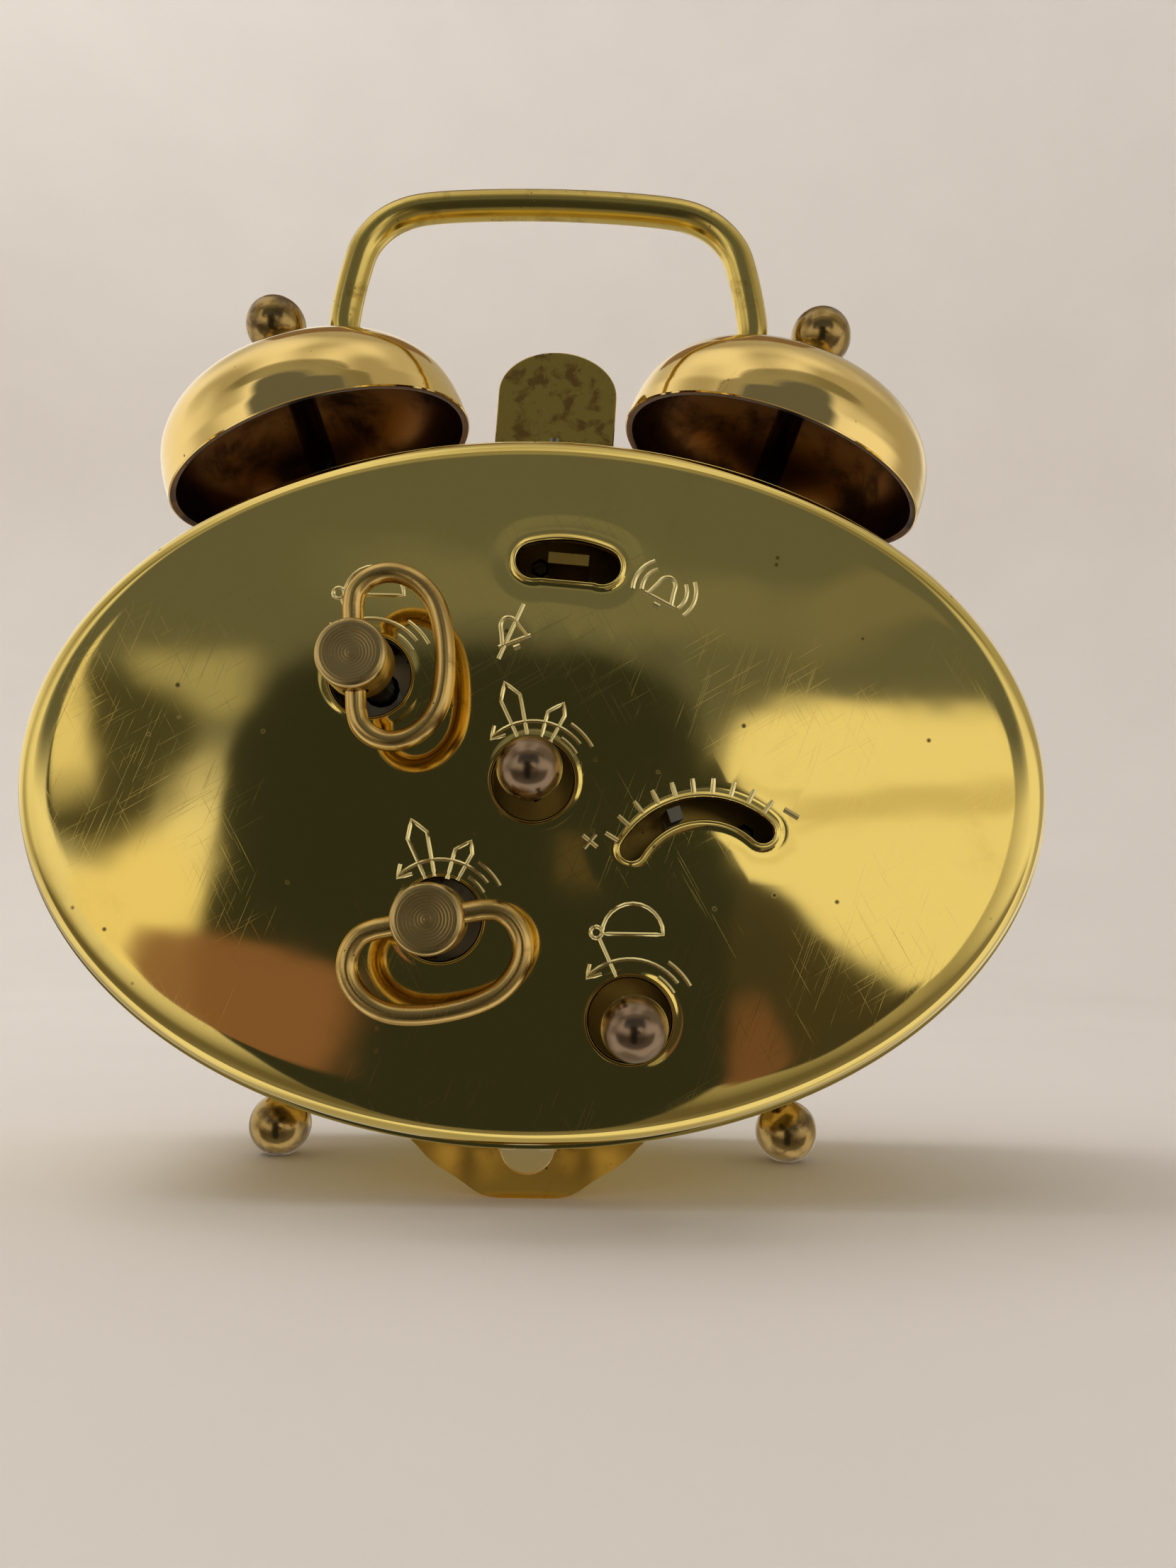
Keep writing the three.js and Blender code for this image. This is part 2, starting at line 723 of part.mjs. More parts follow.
// How far behind the rear plate a piece lies.
function behind(gap) {
  return rearPlateBack + gap;
}

// How far in front of the front plate a piece lies.
function ahead(gap) {
  return frontPlateFront - gap;
}

// A place in the motion work: 0 at the front plate and 1 at the dial.
function motionLevel(share) {
  return frontPlateFront - share * motionRoom;
}

function frontPlate() {
  const holes = [timeWinding, alarmWinding, ...trainArbors].map((at) =>
    bore(at, arborRadius, inside(1), ahead(1)),
  );
  holes.push(bore(centre, centreArborRadius, inside(1), ahead(1)));
  holes.push(bore(alarmSetting, centreArborRadius, inside(1), ahead(1)));
  const posts = pillars.flatMap((at) => [
    rod(at, pillarRadius, rearPlateFront - seat, inside(-0.5)),
    rod(at, threadRadius, behind(1.7), inside(-0.5)),
  ]);
  const stud = rod(minuteWheelAt, minuteStud, inside(-0.5), motionLevel(0.638));
  return join(cut(slab(plateOutline(), frontPlateBack, plateThick, 20), ...holes), ...posts, stud);
}

function rearPlate() {
  const [back, front] = [behind(1), rearPlateFront - 1];
  const holes = trainArbors.map((at) => bore(at, arborRadius, back, front));
  holes.push(...pillars.map((at) => bore(at, threadRadius, back, front)));
  holes.push(bore(centre, centreArborRadius, back, front));
  holes.push(bore(alarmSetting, centreArborRadius, back, front));
  holes.push(...[timeWinding, alarmWinding].map((at) => bore(at, windingRadius, back, front, 12)));
  const studs = [stopPivot, timeClickPivot, alarmClickPivot].map((at) =>
    rod(at, pivotStud, behind(1.5), behind(-0.5)),
  );
  const posts = [timeSpringPost, alarmSpringPost].map((at) =>
    rod(at, 0.7, behind(-0.5), level(springLevels[0]) - 0.2),
  );
  return join(cut(slab(plateOutline(), rearPlateBack, plateThick, 20), ...holes), ...studs, ...posts);
}

add("movement_front_plate", frontPlate(), movementBrass());
add("movement_rear_plate", rearPlate(), movementBrass());

pillars.forEach((at, i) => {
  const nut = rod(at, 2.2, behind(1.5), behind(seat), 6);
  const thread = bore(at, threadRadius, behind(2), behind(0));
  add("pillar_nut_" + (i + 1), cut(nut, thread), steel());
});

// ---- winding: arbor, ratchet, click, great wheel and spring for the time and the alarm ----
function windingArbor(at) {
  return turned(
    [
      [0, frontPlateFront],
      [arborRadius, frontPlateFront],
      [arborRadius, inside(0.3)],
      [windingRadius, inside(0.3)],
      [windingRadius, socketEnd - seat],
      [0, socketEnd - seat],
    ],
    12,
    at,
  );
}

const studBase = studStand - studLength;
const crossHole = bailWire + 0.2;
const socketEnd = bailStand - crossHole - 0.7;

// The key's stud has a socket for its arbor and a cross hole for its bail.
function keyStud(at, turn) {
  const socket = windingRadius + running;
  const stud = turned([
    [socket, studBase],
    [studRadius - 0.5, studBase],
    [studRadius - 0.5, studBase + 1.2],
    [studRadius, studBase + 1.6],
    [studRadius, studStand - 0.3],
    [studRadius - 0.3, studStand],
    [0, studStand],
    [0, socketEnd],
    [socket, socketEnd],
    [socket, studBase],
  ]);
  const hole = new THREE.CylinderGeometry(crossHole, crossHole, 4 * studRadius, 10);
  hole.rotateZ(Math.PI / 2).translate(0, bailStand, 0);
  return cut(stud, hole).rotateY(turn * degree).translate(at.x, 0, at.z);
}

// A closed loop of wire: a straight pivot through the stud and a bow that hangs from it.
function keyBail(at, turn) {
  const bow = Array.from({ length: 13 }, (_, i) => {
    const angle = (i * Math.PI) / 12;
    return { x: bailHalf * Math.cos(angle), z: -bailReach * Math.sin(angle) };
  });
  const pivot = new THREE.CylinderGeometry(bailWire, bailWire, 2 * bailHalf + 0.8, 10);
  pivot.rotateZ(Math.PI / 2).translate(0, bailStand, 0);
  const loop = join(bentWire(bow, bailStand, bailWire, 14), pivot);
  return loop.rotateY(turn * degree).translate(at.x, 0, at.z);
}

const ratchetRadius = 4.2;

function ratchet(at) {
  const teeth = 14;
  const step = 360 / teeth;
  const points = [];
  for (let i = 0; i < teeth; i += 1) {
    points.push(polar(at, ratchetRadius, i * step));
    points.push(polar(at, ratchetRadius - 0.8, i * step + 2));
  }
  const back = behind(1.2);
  return cut(slab(outlineOf(points), back, wheelThick), bore(at, windingRadius, through, -through, 12));
}

function click(at, pivot, side) {
  const tip = polar(at, ratchetRadius + 0.75, (heading(at, pivot) / degree) + side * 62);
  const arm = strip(pivot, tip, 1.1, behind(1.2), wheelThick);
  const hub = rod(pivot, 1.4, behind(1.2), behind(seat), 12);
  return cut(join(hub, arm), bore(pivot, pivotStud, behind(2), behind(0)));
}

// A flat spiral of strip that opens from its arbor outwards.
function spiral(at, inner, outer, turns, wire, back, thick, start) {
  const steps = Math.round(turns * 12);
  const edge = (offset) =>
    Array.from({ length: steps + 1 }, (_, i) => {
      const reach = inner + ((outer - inner) * i) / steps + offset;
      return polar(at, reach, start + (360 * turns * i) / steps);
    });
  return slab(outlineOf([...edge(-wire / 2), ...edge(wire / 2).reverse()]), back, thick);
}

const timeTrain = { teeth: 32, leaves: 7 };
const timeModule = moduleBetween(timeWinding, centre, timeTrain.teeth, timeTrain.leaves);
const alarmTrain = { teeth: 28, leaves: 7 };
const alarmModule = moduleBetween(alarmWinding, alarmEscape, alarmTrain.teeth, alarmTrain.leaves);

function greatWheel(at, partner, teeth, module, back) {
  const toothed = wheel(at, partner, teeth, module, back);
  return cut(toothed, bore(at, windingRadius, back + 1, back - 2, 12));
}

function winding(name, at, turn, pivot, side) {
  add(name + "_winding_arbor", windingArbor(at), steel());
  add(name + "_key_stud", keyStud(at, turn), brass());
  add(name + "_key_bail", keyBail(at, turn), brass());
  add(name + "_ratchet", ratchet(at), steel());
  add(name + "_click", click(at, pivot, side), steel());
  const [inner, outer] = [windingRadius + 0.7, 9.3];
  const [front, back] = springLevels.map(level);
  const coil = spiral(at, inner, outer, 3, springWire, back, back - front, 30);
  add(name + "_mainspring", coil, darkSteel());
}

winding("time", timeWinding, timeBailTurn, timeClickPivot, 1);
winding("alarm", alarmWinding, alarmBailTurn, alarmClickPivot, -1);
const timeGreat = greatWheel(timeWinding, centre, timeTrain.teeth, timeModule, level(0.11));
add("time_great_wheel", timeGreat, movementBrass());
const alarmGreat = greatWheel(
  alarmWinding,
  alarmEscape,
  alarmTrain.teeth,
  alarmModule,
  level(0.213),
);
add("alarm_great_wheel", alarmGreat, movementBrass());

// ---- going train: each wheel drives the pinion of the next ----
const centreTrain = { teeth: 30, leaves: 6 };
const thirdTrain = { teeth: 30, leaves: 6 };
const fourthTrain = { teeth: 24, leaves: 6 };
const centreModule = moduleBetween(centre, third, centreTrain.teeth, centreTrain.leaves);
const thirdModule = moduleBetween(third, fourth, thirdTrain.teeth, thirdTrain.leaves);
const fourthModule = moduleBetween(fourth, escape, fourthTrain.teeth, fourthTrain.leaves);
const centrePipe = hourPipe;

function centreWheel() {
  const solidPipe = rod(centre, centrePipe[1], level(0.865), inside(0.5), 12);
  const leaves = pinion(centre, timeWinding, timeTrain.leaves, timeModule, level(0.168), 2);
  const toothed = wheel(centre, third, centreTrain.teeth, centreModule, level(0.852));
  return cut(join(solidPipe, leaves, toothed), rod(centre, centrePipe[0], through, -through, 12));
}

add("centre_wheel", centreWheel(), movementBrass());
add(
  "third_wheel",
  join(
    arbor(third),
    pinion(third, centre, centreTrain.leaves, centreModule, level(0.884), 1.9),
    wheel(third, fourth, thirdTrain.teeth, thirdModule, level(0.413)),
  ),
  movementBrass(),
);
add(
  "fourth_wheel",
  join(
    arbor(fourth),
    pinion(fourth, third, thirdTrain.leaves, thirdModule, level(0.445), 1.9),
    wheel(fourth, escape, fourthTrain.teeth, fourthModule, level(0.116)),
  ),
  movementBrass(),
);

// ---- escapements: pointed escape wheels and the anchors that let them past ----
const escapeRadius = 4;

function escapeOutline(at, teeth, radius, lean) {
  const step = 360 / teeth;
  const points = [];
  for (let i = 0; i < teeth; i += 1) {
    points.push(polar(at, radius - 1.2, i * step));
    points.push(polar(at, radius, i * step + lean));
  }
  return outlineOf(points);
}

add(
  "escape_wheel",
  join(
    arbor(escape),
    pinion(escape, fourth, fourthTrain.leaves, fourthModule, level(0.155), 1.9),
    slab(escapeOutline(escape, 15, escapeRadius, 4), level(0.31), 0.7),
  ),
  steel(),
);

// Two arms reach round the escape wheel from the anchor's own arbor.
function anchor(at, wheelAt, clear, back, thick) {
  const line = heading(at, wheelAt) / degree;
  const span = distance(at, wheelAt);
  const opening = (Math.acos(Math.min(0.9, (0.55 * span) / clear)) / degree) * 0.5 + 30;
  const tips = [1, -1].map((side) => {
    const corner = polar(wheelAt, clear, line + 180 - side * opening);
    return strip(at, corner, 1, back, thick);
  });
  return join(rod(at, 1.3, back, back - thick, 12), ...tips);
}

const forkLength = 5.8;
const palletBack = level(0.31);
const fork = strip(pallet, between(pallet, balance, forkLength), 0.9, palletBack, 0.7);
add(
  "pallet_lever",
  join(arbor(pallet), anchor(pallet, escape, escapeRadius + 1.15, palletBack, 0.7), fork),
  steel(),
);

// ---- balance: a rim on three spokes, its staff, its hairspring and the regulator ----
const rimOuter = 6.2;
const staffRadius = 0.45;

function balanceWheel() {
  const [back, front] = [level(0.594), level(0.516)];
  const rimInner = rimOuter - 1;
  const rim = turned(
    [
      [rimInner, front],
      [rimOuter, front],
      [rimOuter, back],
      [rimInner, back],
      [rimInner, front],
    ],
    24,
    balance,
  );
  const spokes = [0, 120, 240].map((angle) =>
    strip(balance, polar(balance, rimInner + 0.4, angle), 0.9, level(0.574), 0.6),
  );
  const staff = rod(balance, staffRadius, behind(0.2), frontPlateFront);
  const roller = rod(balance, 0.9, level(0.426), level(0.387), 12);
  return join(rim, ...spokes, staff, roller);
}

add("balance_wheel", balanceWheel(), brass());
const hair = spiral(balance, 1.1, 4, 2.5, 0.3, level(0.761), 0.7, 0);
add("hairspring", hair, steel());

// A lever that turns on the rear plate and shows its end in a slot of the cover.
function coverLever(pivot, lean, reach, hub, hole, width, tabWidth, tabDeep, tabEnd) {
  const tip = polar(pivot, reach, 90 - lean);
  const arm = strip(pivot, tip, width, behind(1.1), 0.8);
  const boss = rod(pivot, hub, behind(1.1), behind(seat), 16);
  const tab = new THREE.BoxGeometry(tabWidth, tabEnd - behind(seat), tabDeep);
  tab.translate(0, (tabEnd + behind(seat)) / 2, 0).rotateY(lean * degree).translate(tip.x, 0, tip.z);
  return cut(join(arm, boss, tab), bore(pivot, hole, behind(3), behind(-0.1)));
}

add(
  "regulator",
  coverLever(
    balance,
    regulatorLean + regulatorSet,
    regulatorReach,
    2.3,
    staffRadius,
    1.5,
    1.2,
    1.2,
    regulatorEnd,
  ),
  steel(),
);
add(
  "alarm_stop_lever",
  coverLever(stopPivot, stopLean, stopReach, 1.7, pivotStud, 2, stopTab, 1, stopEnd),
  brass(),
);

// ---- hammer: its arbor and anchor inside, its wire and flat head outside ----
const strikerBack = -bellDepth + hammerThick / 2;

function turnedAbout(geometry, at, angle) {
  return geometry.translate(-at.x, 0, -at.z).rotateY(angle * degree).translate(at.x, 0, at.z);
}

function hammer() {
  const head = new THREE.Shape();
  const shoulder = hammerTop - hammerHalf * 0.75;
  head.moveTo(-hammerHalf + 1.2, hammerBottom);
  head.lineTo(hammerHalf - 1.2, hammerBottom);
  head.lineTo(hammerHalf, hammerBottom + 1.2);
  head.lineTo(hammerHalf, shoulder);
  head.absellipse(0, shoulder, hammerHalf, hammerTop - shoulder, 0, Math.PI, false);
  head.lineTo(-hammerHalf, hammerBottom + 1.2);
  const flat = slab(head, strikerBack, hammerThick, 8);
  const wireRadius = 0.8;
  const wire = new THREE.CylinderGeometry(wireRadius, wireRadius, 1, 8).rotateX(Math.PI / 2);
  const length = hammerBottom + 2 - hammerPivot.z - 1;
  wire.scale(1, 1, length).translate(0, -bellDepth, hammerPivot.z + 1 + length / 2);
  const eye = rod(hammerPivot, 1.8, -bellDepth + 1.2, -bellDepth - 1.2, 12);
  const hub = cut(join(flat, wire, eye), bore(hammerPivot, arborRadius, through, -through));
  return turnedAbout(hub, hammerPivot, hammerLean);
}

const strikerAnchor = anchor(hammerPivot, alarmEscape, 5.1, level(0.852), 0.8);
add("hammer", hammer(), wornBrass());
add("hammer_arbor", join(arbor(hammerPivot), strikerAnchor), steel());
add(
  "alarm_escape_wheel",
  join(
    arbor(alarmEscape),
    pinion(alarmEscape, alarmWinding, alarmTrain.leaves, alarmModule, level(0.239), 1.6),
    slab(escapeOutline(alarmEscape, 12, 4.2, 0), level(0.845), 0.7),
  ),
  steel(),
);

// ---- setting: knobs, centre arbor, motion work, alarm wheel and hands ----
const knobNeck = 1.7;

function knob(at, arborBore) {
  const base = 1.2;
  const ballStart = knobStand - Math.sqrt(knobRadius ** 2 - knobNeck ** 2);
  return turned(
    [
      [arborBore, base],
      [knobNeck, base],
      ...ballProfile(knobRadius, knobStand, ballStart, knobStand + knobRadius, 6),
      [0, knobStand - 2.6],
      [arborBore, knobStand - 2.6],
      [arborBore, base],
    ],
    roundSides,
    at,
  );
}

const arborEnd = knobStand - 2.6 - seat;
const handBoss = 0.3;
const minuteHandBack = dialFront - 2;
const hourHandBack = dialFront - 1.3;
const alarmHandBack = dialFront - 0.6;
const motion = { cannon: 8, minute: 24, minuteLeaves: 6, hour: 24 };
const minuteModule = moduleBetween(centre, minuteWheelAt, motion.minute, motion.cannon);
const hourModule = moduleBetween(centre, minuteWheelAt, motion.hour, motion.minuteLeaves);
const alarmSet = { leaves: 9, teeth: 27 };
const alarmSetModule = moduleBetween(alarmSetting, centre, alarmSet.leaves, alarmSet.teeth);

add("time_set_knob", knob(centre, centreArborRadius + running), steel());
add("alarm_set_knob", knob(alarmSetting, centreArborRadius + running), steel());
add(
  "centre_arbor",
  join(
    rod(centre, centreArborRadius, arborEnd, minuteHandBack - handBoss),
    pinion(centre, minuteWheelAt, motion.cannon, minuteModule, motionLevel(0.085), 1.1),
  ),
  steel(),
);
add(
  "alarm_setting_arbor",
  join(
    rod(alarmSetting, centreArborRadius, arborEnd, motionLevel(0.872)),
    pinion(alarmSetting, centre, alarmSet.leaves, alarmSetModule, motionLevel(0.638), 1.1),
  ),
  steel(),
);

function minuteWheel() {
  const toothed = wheel(minuteWheelAt, centre, motion.minute, minuteModule, motionLevel(0.128), 0.7);
  const leaves = pinion(minuteWheelAt, centre, motion.minuteLeaves, hourModule, motionLevel(0.255), 1.5);
  return cut(join(toothed, leaves), bore(minuteWheelAt, minuteStud, through, -through));
}

add("minute_wheel", minuteWheel(), movementBrass());

// A wheel on a pipe that turns round the pieces inside it.
function pipeWheel(toothed, pipe, back, front) {
  const outside = rod(centre, pipe[1], back, front, 16);
  const around = pipe[0] / Math.cos(Math.PI / roundSides);
  return cut(join(outside, toothed), rod(centre, around, through, -through, roundSides));
}

const hourToothed = wheel(centre, minuteWheelAt, motion.hour, hourModule, motionLevel(0.404), 0.6);
const alarmToothed = wheel(centre, alarmSetting, alarmSet.teeth, alarmSetModule, motionLevel(0.681), 0.7);
add(
  "hour_wheel",
  pipeWheel(hourToothed, hourPipe, motionLevel(0.383), hourHandBack - handBoss),
  movementBrass(),
);
add(
  "alarm_wheel",
  pipeWheel(alarmToothed, alarmPipe, motionLevel(0.66), alarmHandBack - handBoss),
  movementBrass(),
);

// A pointed hand with a round boss, at an angle clockwise from twelve as the dial is read.
function hand(reach, half, tail, boss, shaft, angle, back) {
  const outline = outlineOf([
    { x: -half * 0.6, z: -tail },
    { x: half * 0.6, z: -tail },
    { x: half, z: reach * 0.6 },
    { x: 0, z: reach },
    { x: -half, z: reach * 0.6 },
  ]);
  const blade = join(slab(outline, back, handBoss), rod(centre, boss, back, back - handBoss, 16));
  const around = (shaft + 0.08) / Math.cos(Math.PI / roundSides);
  const hole = rod(centre, around, through, -through, roundSides);
  return cut(blade, hole).rotateY(angle * degree);
}

add("minute_hand", hand(19.5, 0.9, 4, 1.8, centreArborRadius, 50, minuteHandBack), black());
add("hour_hand", hand(13, 1.1, 3, 2.3, hourPipe[1], -60, hourHandBack), black());
add("alarm_hand", hand(9, 0.7, 2.6, 3, alarmPipe[1], 180, alarmHandBack), darkSteel());

export default clock;
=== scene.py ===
# Oval twin-bell travel alarm clock in polished brass, seen from behind.
# Sizes are in millimetres and become metres where a mesh is made. x, y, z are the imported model's.
import math
import bpy
import bmesh
from mathutils import Matrix, Vector
from mathutils.geometry import delaunay_2d_cdt


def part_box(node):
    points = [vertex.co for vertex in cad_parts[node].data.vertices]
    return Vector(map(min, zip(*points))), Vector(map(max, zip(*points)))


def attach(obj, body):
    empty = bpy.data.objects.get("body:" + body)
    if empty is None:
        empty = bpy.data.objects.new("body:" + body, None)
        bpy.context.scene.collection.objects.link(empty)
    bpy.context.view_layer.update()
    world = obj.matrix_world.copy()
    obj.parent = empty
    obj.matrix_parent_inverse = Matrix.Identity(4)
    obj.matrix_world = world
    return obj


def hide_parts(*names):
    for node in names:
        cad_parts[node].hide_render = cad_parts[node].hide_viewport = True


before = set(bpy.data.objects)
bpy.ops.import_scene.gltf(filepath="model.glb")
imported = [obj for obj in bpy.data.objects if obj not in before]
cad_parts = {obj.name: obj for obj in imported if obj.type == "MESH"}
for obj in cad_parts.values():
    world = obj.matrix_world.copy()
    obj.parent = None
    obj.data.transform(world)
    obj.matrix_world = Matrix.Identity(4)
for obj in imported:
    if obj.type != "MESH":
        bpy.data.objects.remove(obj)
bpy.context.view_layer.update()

mm = 0.001
turn = 2 * math.pi
scene = bpy.context.scene
scene.view_settings.view_transform = "Standard"
scene.view_settings.look = "None"


# places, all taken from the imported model
def corners(node):
    low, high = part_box(node)
    return low / mm, high / mm


def middle(node):
    low, high = corners(node)
    return (low + high) / 2


coverLow, coverHigh = corners("back_cover")
coverBack = coverHigh.y
caseMiddle = (coverLow.z + coverHigh.z) / 2
halfWidth = (coverHigh.x - coverLow.x) / 2
halfHeight = (coverHigh.z - coverLow.z) / 2


def polar(x, z, reach, angle):
    # the angle runs from straight up towards +X, in degrees
    return x + reach * math.sin(math.radians(angle)), z + reach * math.cos(math.radians(angle))


def solidMesh(name, points, faces):
    # one welded mesh, with its faces turned outwards
    mesh = bpy.data.meshes.new(name)
    mesh.from_pydata([Vector(p) * mm for p in points], [], faces)
    work = bmesh.new()
    work.from_mesh(mesh)
    bmesh.ops.remove_doubles(work, verts=work.verts, dist=1e-7)
    bmesh.ops.recalc_face_normals(work, faces=work.faces)
    work.to_mesh(mesh)
    work.free()
    return mesh


def newPiece(name, points, faces, finish, body="case", slotName="case_brass", nodes=(), place=None, sharp=40):
    mesh = solidMesh(name, points, faces)
    mesh.shade_smooth()
    mesh.set_sharp_from_angle(angle=math.radians(sharp))
    mesh.materials.append(finish)
    piece = bpy.data.objects.new(name, mesh)
    scene.collection.objects.link(piece)
    if place is not None:
        piece.matrix_world = place
    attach(piece, body)
    if nodes:
        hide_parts(*nodes)
    return piece


def bridge(first, second, closed=True):
    # faces between two rings of the same number of points
    count = len(first)
    steps = count if closed else count - 1
    return [(first[i], first[(i + 1) % count], second[(i + 1) % count], second[i]) for i in range(steps)]


def bridgeAll(rings, shut=False):
    # faces between each ring and the next, and back to the first where shut
    faces = []
    for first, second in zip(rings, rings[1:] + (rings[:1] if shut else [])):
        faces += bridge(first, second)
    return faces


def lathe(profile, sides=96, shut=False):
    # profile of (radius, height) turned about Z
    points, rings = [], []
    for radius, height in profile:
        start = len(points)
        if radius < 1e-6:
            points.append((0, 0, height))
            rings.append([start])
        else:
            for i in range(sides):
                a = turn * i / sides
                points.append((radius * math.cos(a), radius * math.sin(a), height))
            rings.append(list(range(start, start + sides)))
    faces = []
    for first, second in zip(rings, rings[1:] + (rings[:1] if shut else [])):
        if len(first) == 1 and len(second) == 1:
            continue
        if len(first) == 1:
            faces += [(first[0], second[(i + 1) % sides], second[i]) for i in range(sides)]
        elif len(second) == 1:
            faces += [(first[i], first[(i + 1) % sides], second[0]) for i in range(sides)]
        else:
            faces += bridge(first, second)
    return points, faces


def ballLine(radius, first, last, steps, height=0.0):
    # the side of a ball as a lathe profile, between two angles from its waist
    angles = [first + (last - first) * i / steps for i in range(steps + 1)]
    return [(radius * math.cos(a), height + radius * math.sin(a)) for a in angles]


def ovalRings(rows, sides):
    # rings of points round the case, from rows of (half width, half height, y)
    points, rings = [], []
    for wide, tall, y in rows:
        start = len(points)
        for i in range(sides):
            a = turn * i / sides
            points.append((wide * math.cos(a), y, caseMiddle + tall * math.sin(a)))
        rings.append(list(range(start, start + sides)))
    return points, rings


def ovalLoft(profile, sides=288):
    # a closed profile of (inset from the cover's edge, y) carried round the oval
    points, rings = ovalRings([(halfWidth - inset, halfHeight - inset, y) for inset, y in profile], sides)
    return points, bridgeAll(rings, shut=True)


def placed(at, direction):
    # a place at a point, with local Z along a direction
    aimed = Vector(direction).to_track_quat("Z", "X").to_matrix().to_4x4()
    return Matrix.Translation(Vector(at) * mm) @ aimed


def smooth(points, each, closed=False):
    # a Catmull-Rom line through the points
    count = len(points)
    line = []
    spans = count if closed else count - 1
    for i in range(spans):
        near = [(i + k) % count if closed else min(max(i + k, 0), count - 1) for k in (-1, 0, 1, 2)]
        p = [Vector(points[k]) for k in near]
        for j in range(each):
            t = j / each
            line.append(0.5 * (2 * p[1] + (p[2] - p[0]) * t + (2 * p[0] - 5 * p[1] + 4 * p[2] - p[3]) * t * t
                               + (3 * p[1] - p[0] - 3 * p[2] + p[3]) * t ** 3))
    if not closed:
        line.append(Vector(points[-1]))
    return line


def wire(line, radius, normal, sides=20, closed=False):
    # a round wire along a flat line whose plane has this normal
    points, rings = [], []
    normal = Vector(normal)
    count = len(line)
    for i, at in enumerate(line):
        if closed:
            before, after = line[i - 1], line[(i + 1) % count]
        else:
            before, after = line[max(i - 1, 0)], line[min(i + 1, count - 1)]
        across = (after - before).normalized().cross(normal).normalized()
        start = len(points)
        for k in range(sides):
            a = turn * k / sides
            points.append(at + across * (radius * math.cos(a)) + normal * (radius * math.sin(a)))
        rings.append(list(range(start, start + sides)))
    faces = bridgeAll(rings, closed)
    if not closed:
        faces += [tuple(rings[0]), tuple(reversed(rings[-1]))]
    return points, faces


def slabFaces(count):
    # the faces of a slab whose two outlines have this many points each
    faces = [tuple(range(count)), tuple(range(2 * count - 1, count - 1, -1))]
    return faces + bridge(list(range(count)), list(range(count, 2 * count)))


def block(xs, ys, zs):
    # a box between two values on each axis
    points = [(x, y, z) for x in xs for y in ys for z in zs]
    return points, [(0, 1, 3, 2), (4, 6, 7, 5), (0, 4, 5, 1), (2, 3, 7, 6), (0, 2, 6, 4), (1, 5, 7, 3)]


def plate(outline, back, front):
    # a flat outline of (x, z) between two depths
    return [(x, y, z) for y in (back, front) for x, z in outline], slabFaces(len(outline))


def soften(piece, width, segments=3, angle=40):
    bevel = piece.modifiers.new("edge", "BEVEL")
    bevel.width, bevel.segments = width * mm, segments
    bevel.limit_method, bevel.angle_limit = "ANGLE", math.radians(angle)
    bevel.harden_normals = True
    return piece


def cutAway(piece, cutters):
    # takes the cutters out of the piece for good
    for cutter in cutters:
        step = piece.modifiers.new("cut", "BOOLEAN")
        step.object, step.operation, step.solver = cutter, "DIFFERENCE", "EXACT"
    bpy.context.view_layer.update()
    result = bpy.data.meshes.new_from_object(piece.evaluated_get(bpy.context.evaluated_depsgraph_get()))
    piece.modifiers.clear()
    piece.data = result
    piece.data.set_sharp_from_angle(angle=math.radians(40))
    for cutter in cutters:
        bpy.data.objects.remove(cutter)
    return piece


def plainSolid(points, faces, place=None):
    # a cutter, which cutAway uses up
    solid = bpy.data.objects.new("cutter", solidMesh("cutter", points, faces))
    scene.collection.objects.link(solid)
    if place is not None:
        solid.matrix_world = place
    return solid


def joined(parts):
    points, faces = [], []
    for morePoints, moreFaces in parts:
        start = len(points)
        points += list(morePoints)
        faces += [tuple(i + start for i in face) for face in moreFaces]
    return points, faces


# materials
def colour(hexValue, alpha=1.0):
    # sRGB hex to linear
    parts = [int(hexValue[i:i + 2], 16) / 255 for i in (1, 3, 5)]
    return [p / 12.92 if p <= 0.04045 else ((p + 0.055) / 1.055) ** 2.4 for p in parts] + [alpha]


def addNode(tree, kind, sockets=None, **settings):
    made = tree.nodes.new("ShaderNode" + kind)
    for key, value in settings.items():
        setattr(made, key, value)
    for key, value in (sockets or {}).items():
        if isinstance(value, bpy.types.NodeSocket):
            tree.links.new(value, made.inputs[key])
        else:
            made.inputs[key].default_value = value
    return made


def per(size):
    # a texture scale from a size in millimetres
    return 1 / (size * mm)


def startMaterial(name):
    made = bpy.data.materials.new(name)
    made.use_nodes = True
    tree = made.node_tree
    tree.nodes.clear()
    shader = addNode(tree, "BsdfPrincipled")
    addNode(tree, "OutputMaterial", {"Surface": shader.outputs[0]})
    place = addNode(tree, "TexCoord").outputs["Object"]
    return made, tree, shader, place


# (turn, width in mm) of three sets of hairlines. Real ones are some 0.005 mm wide, and these ten times as
# coarse, so that they show.
hairlineSets = ((0.5, 0.05), (2.1, 0.06), (1.2, 0.045))
hairlineLength = 9.0


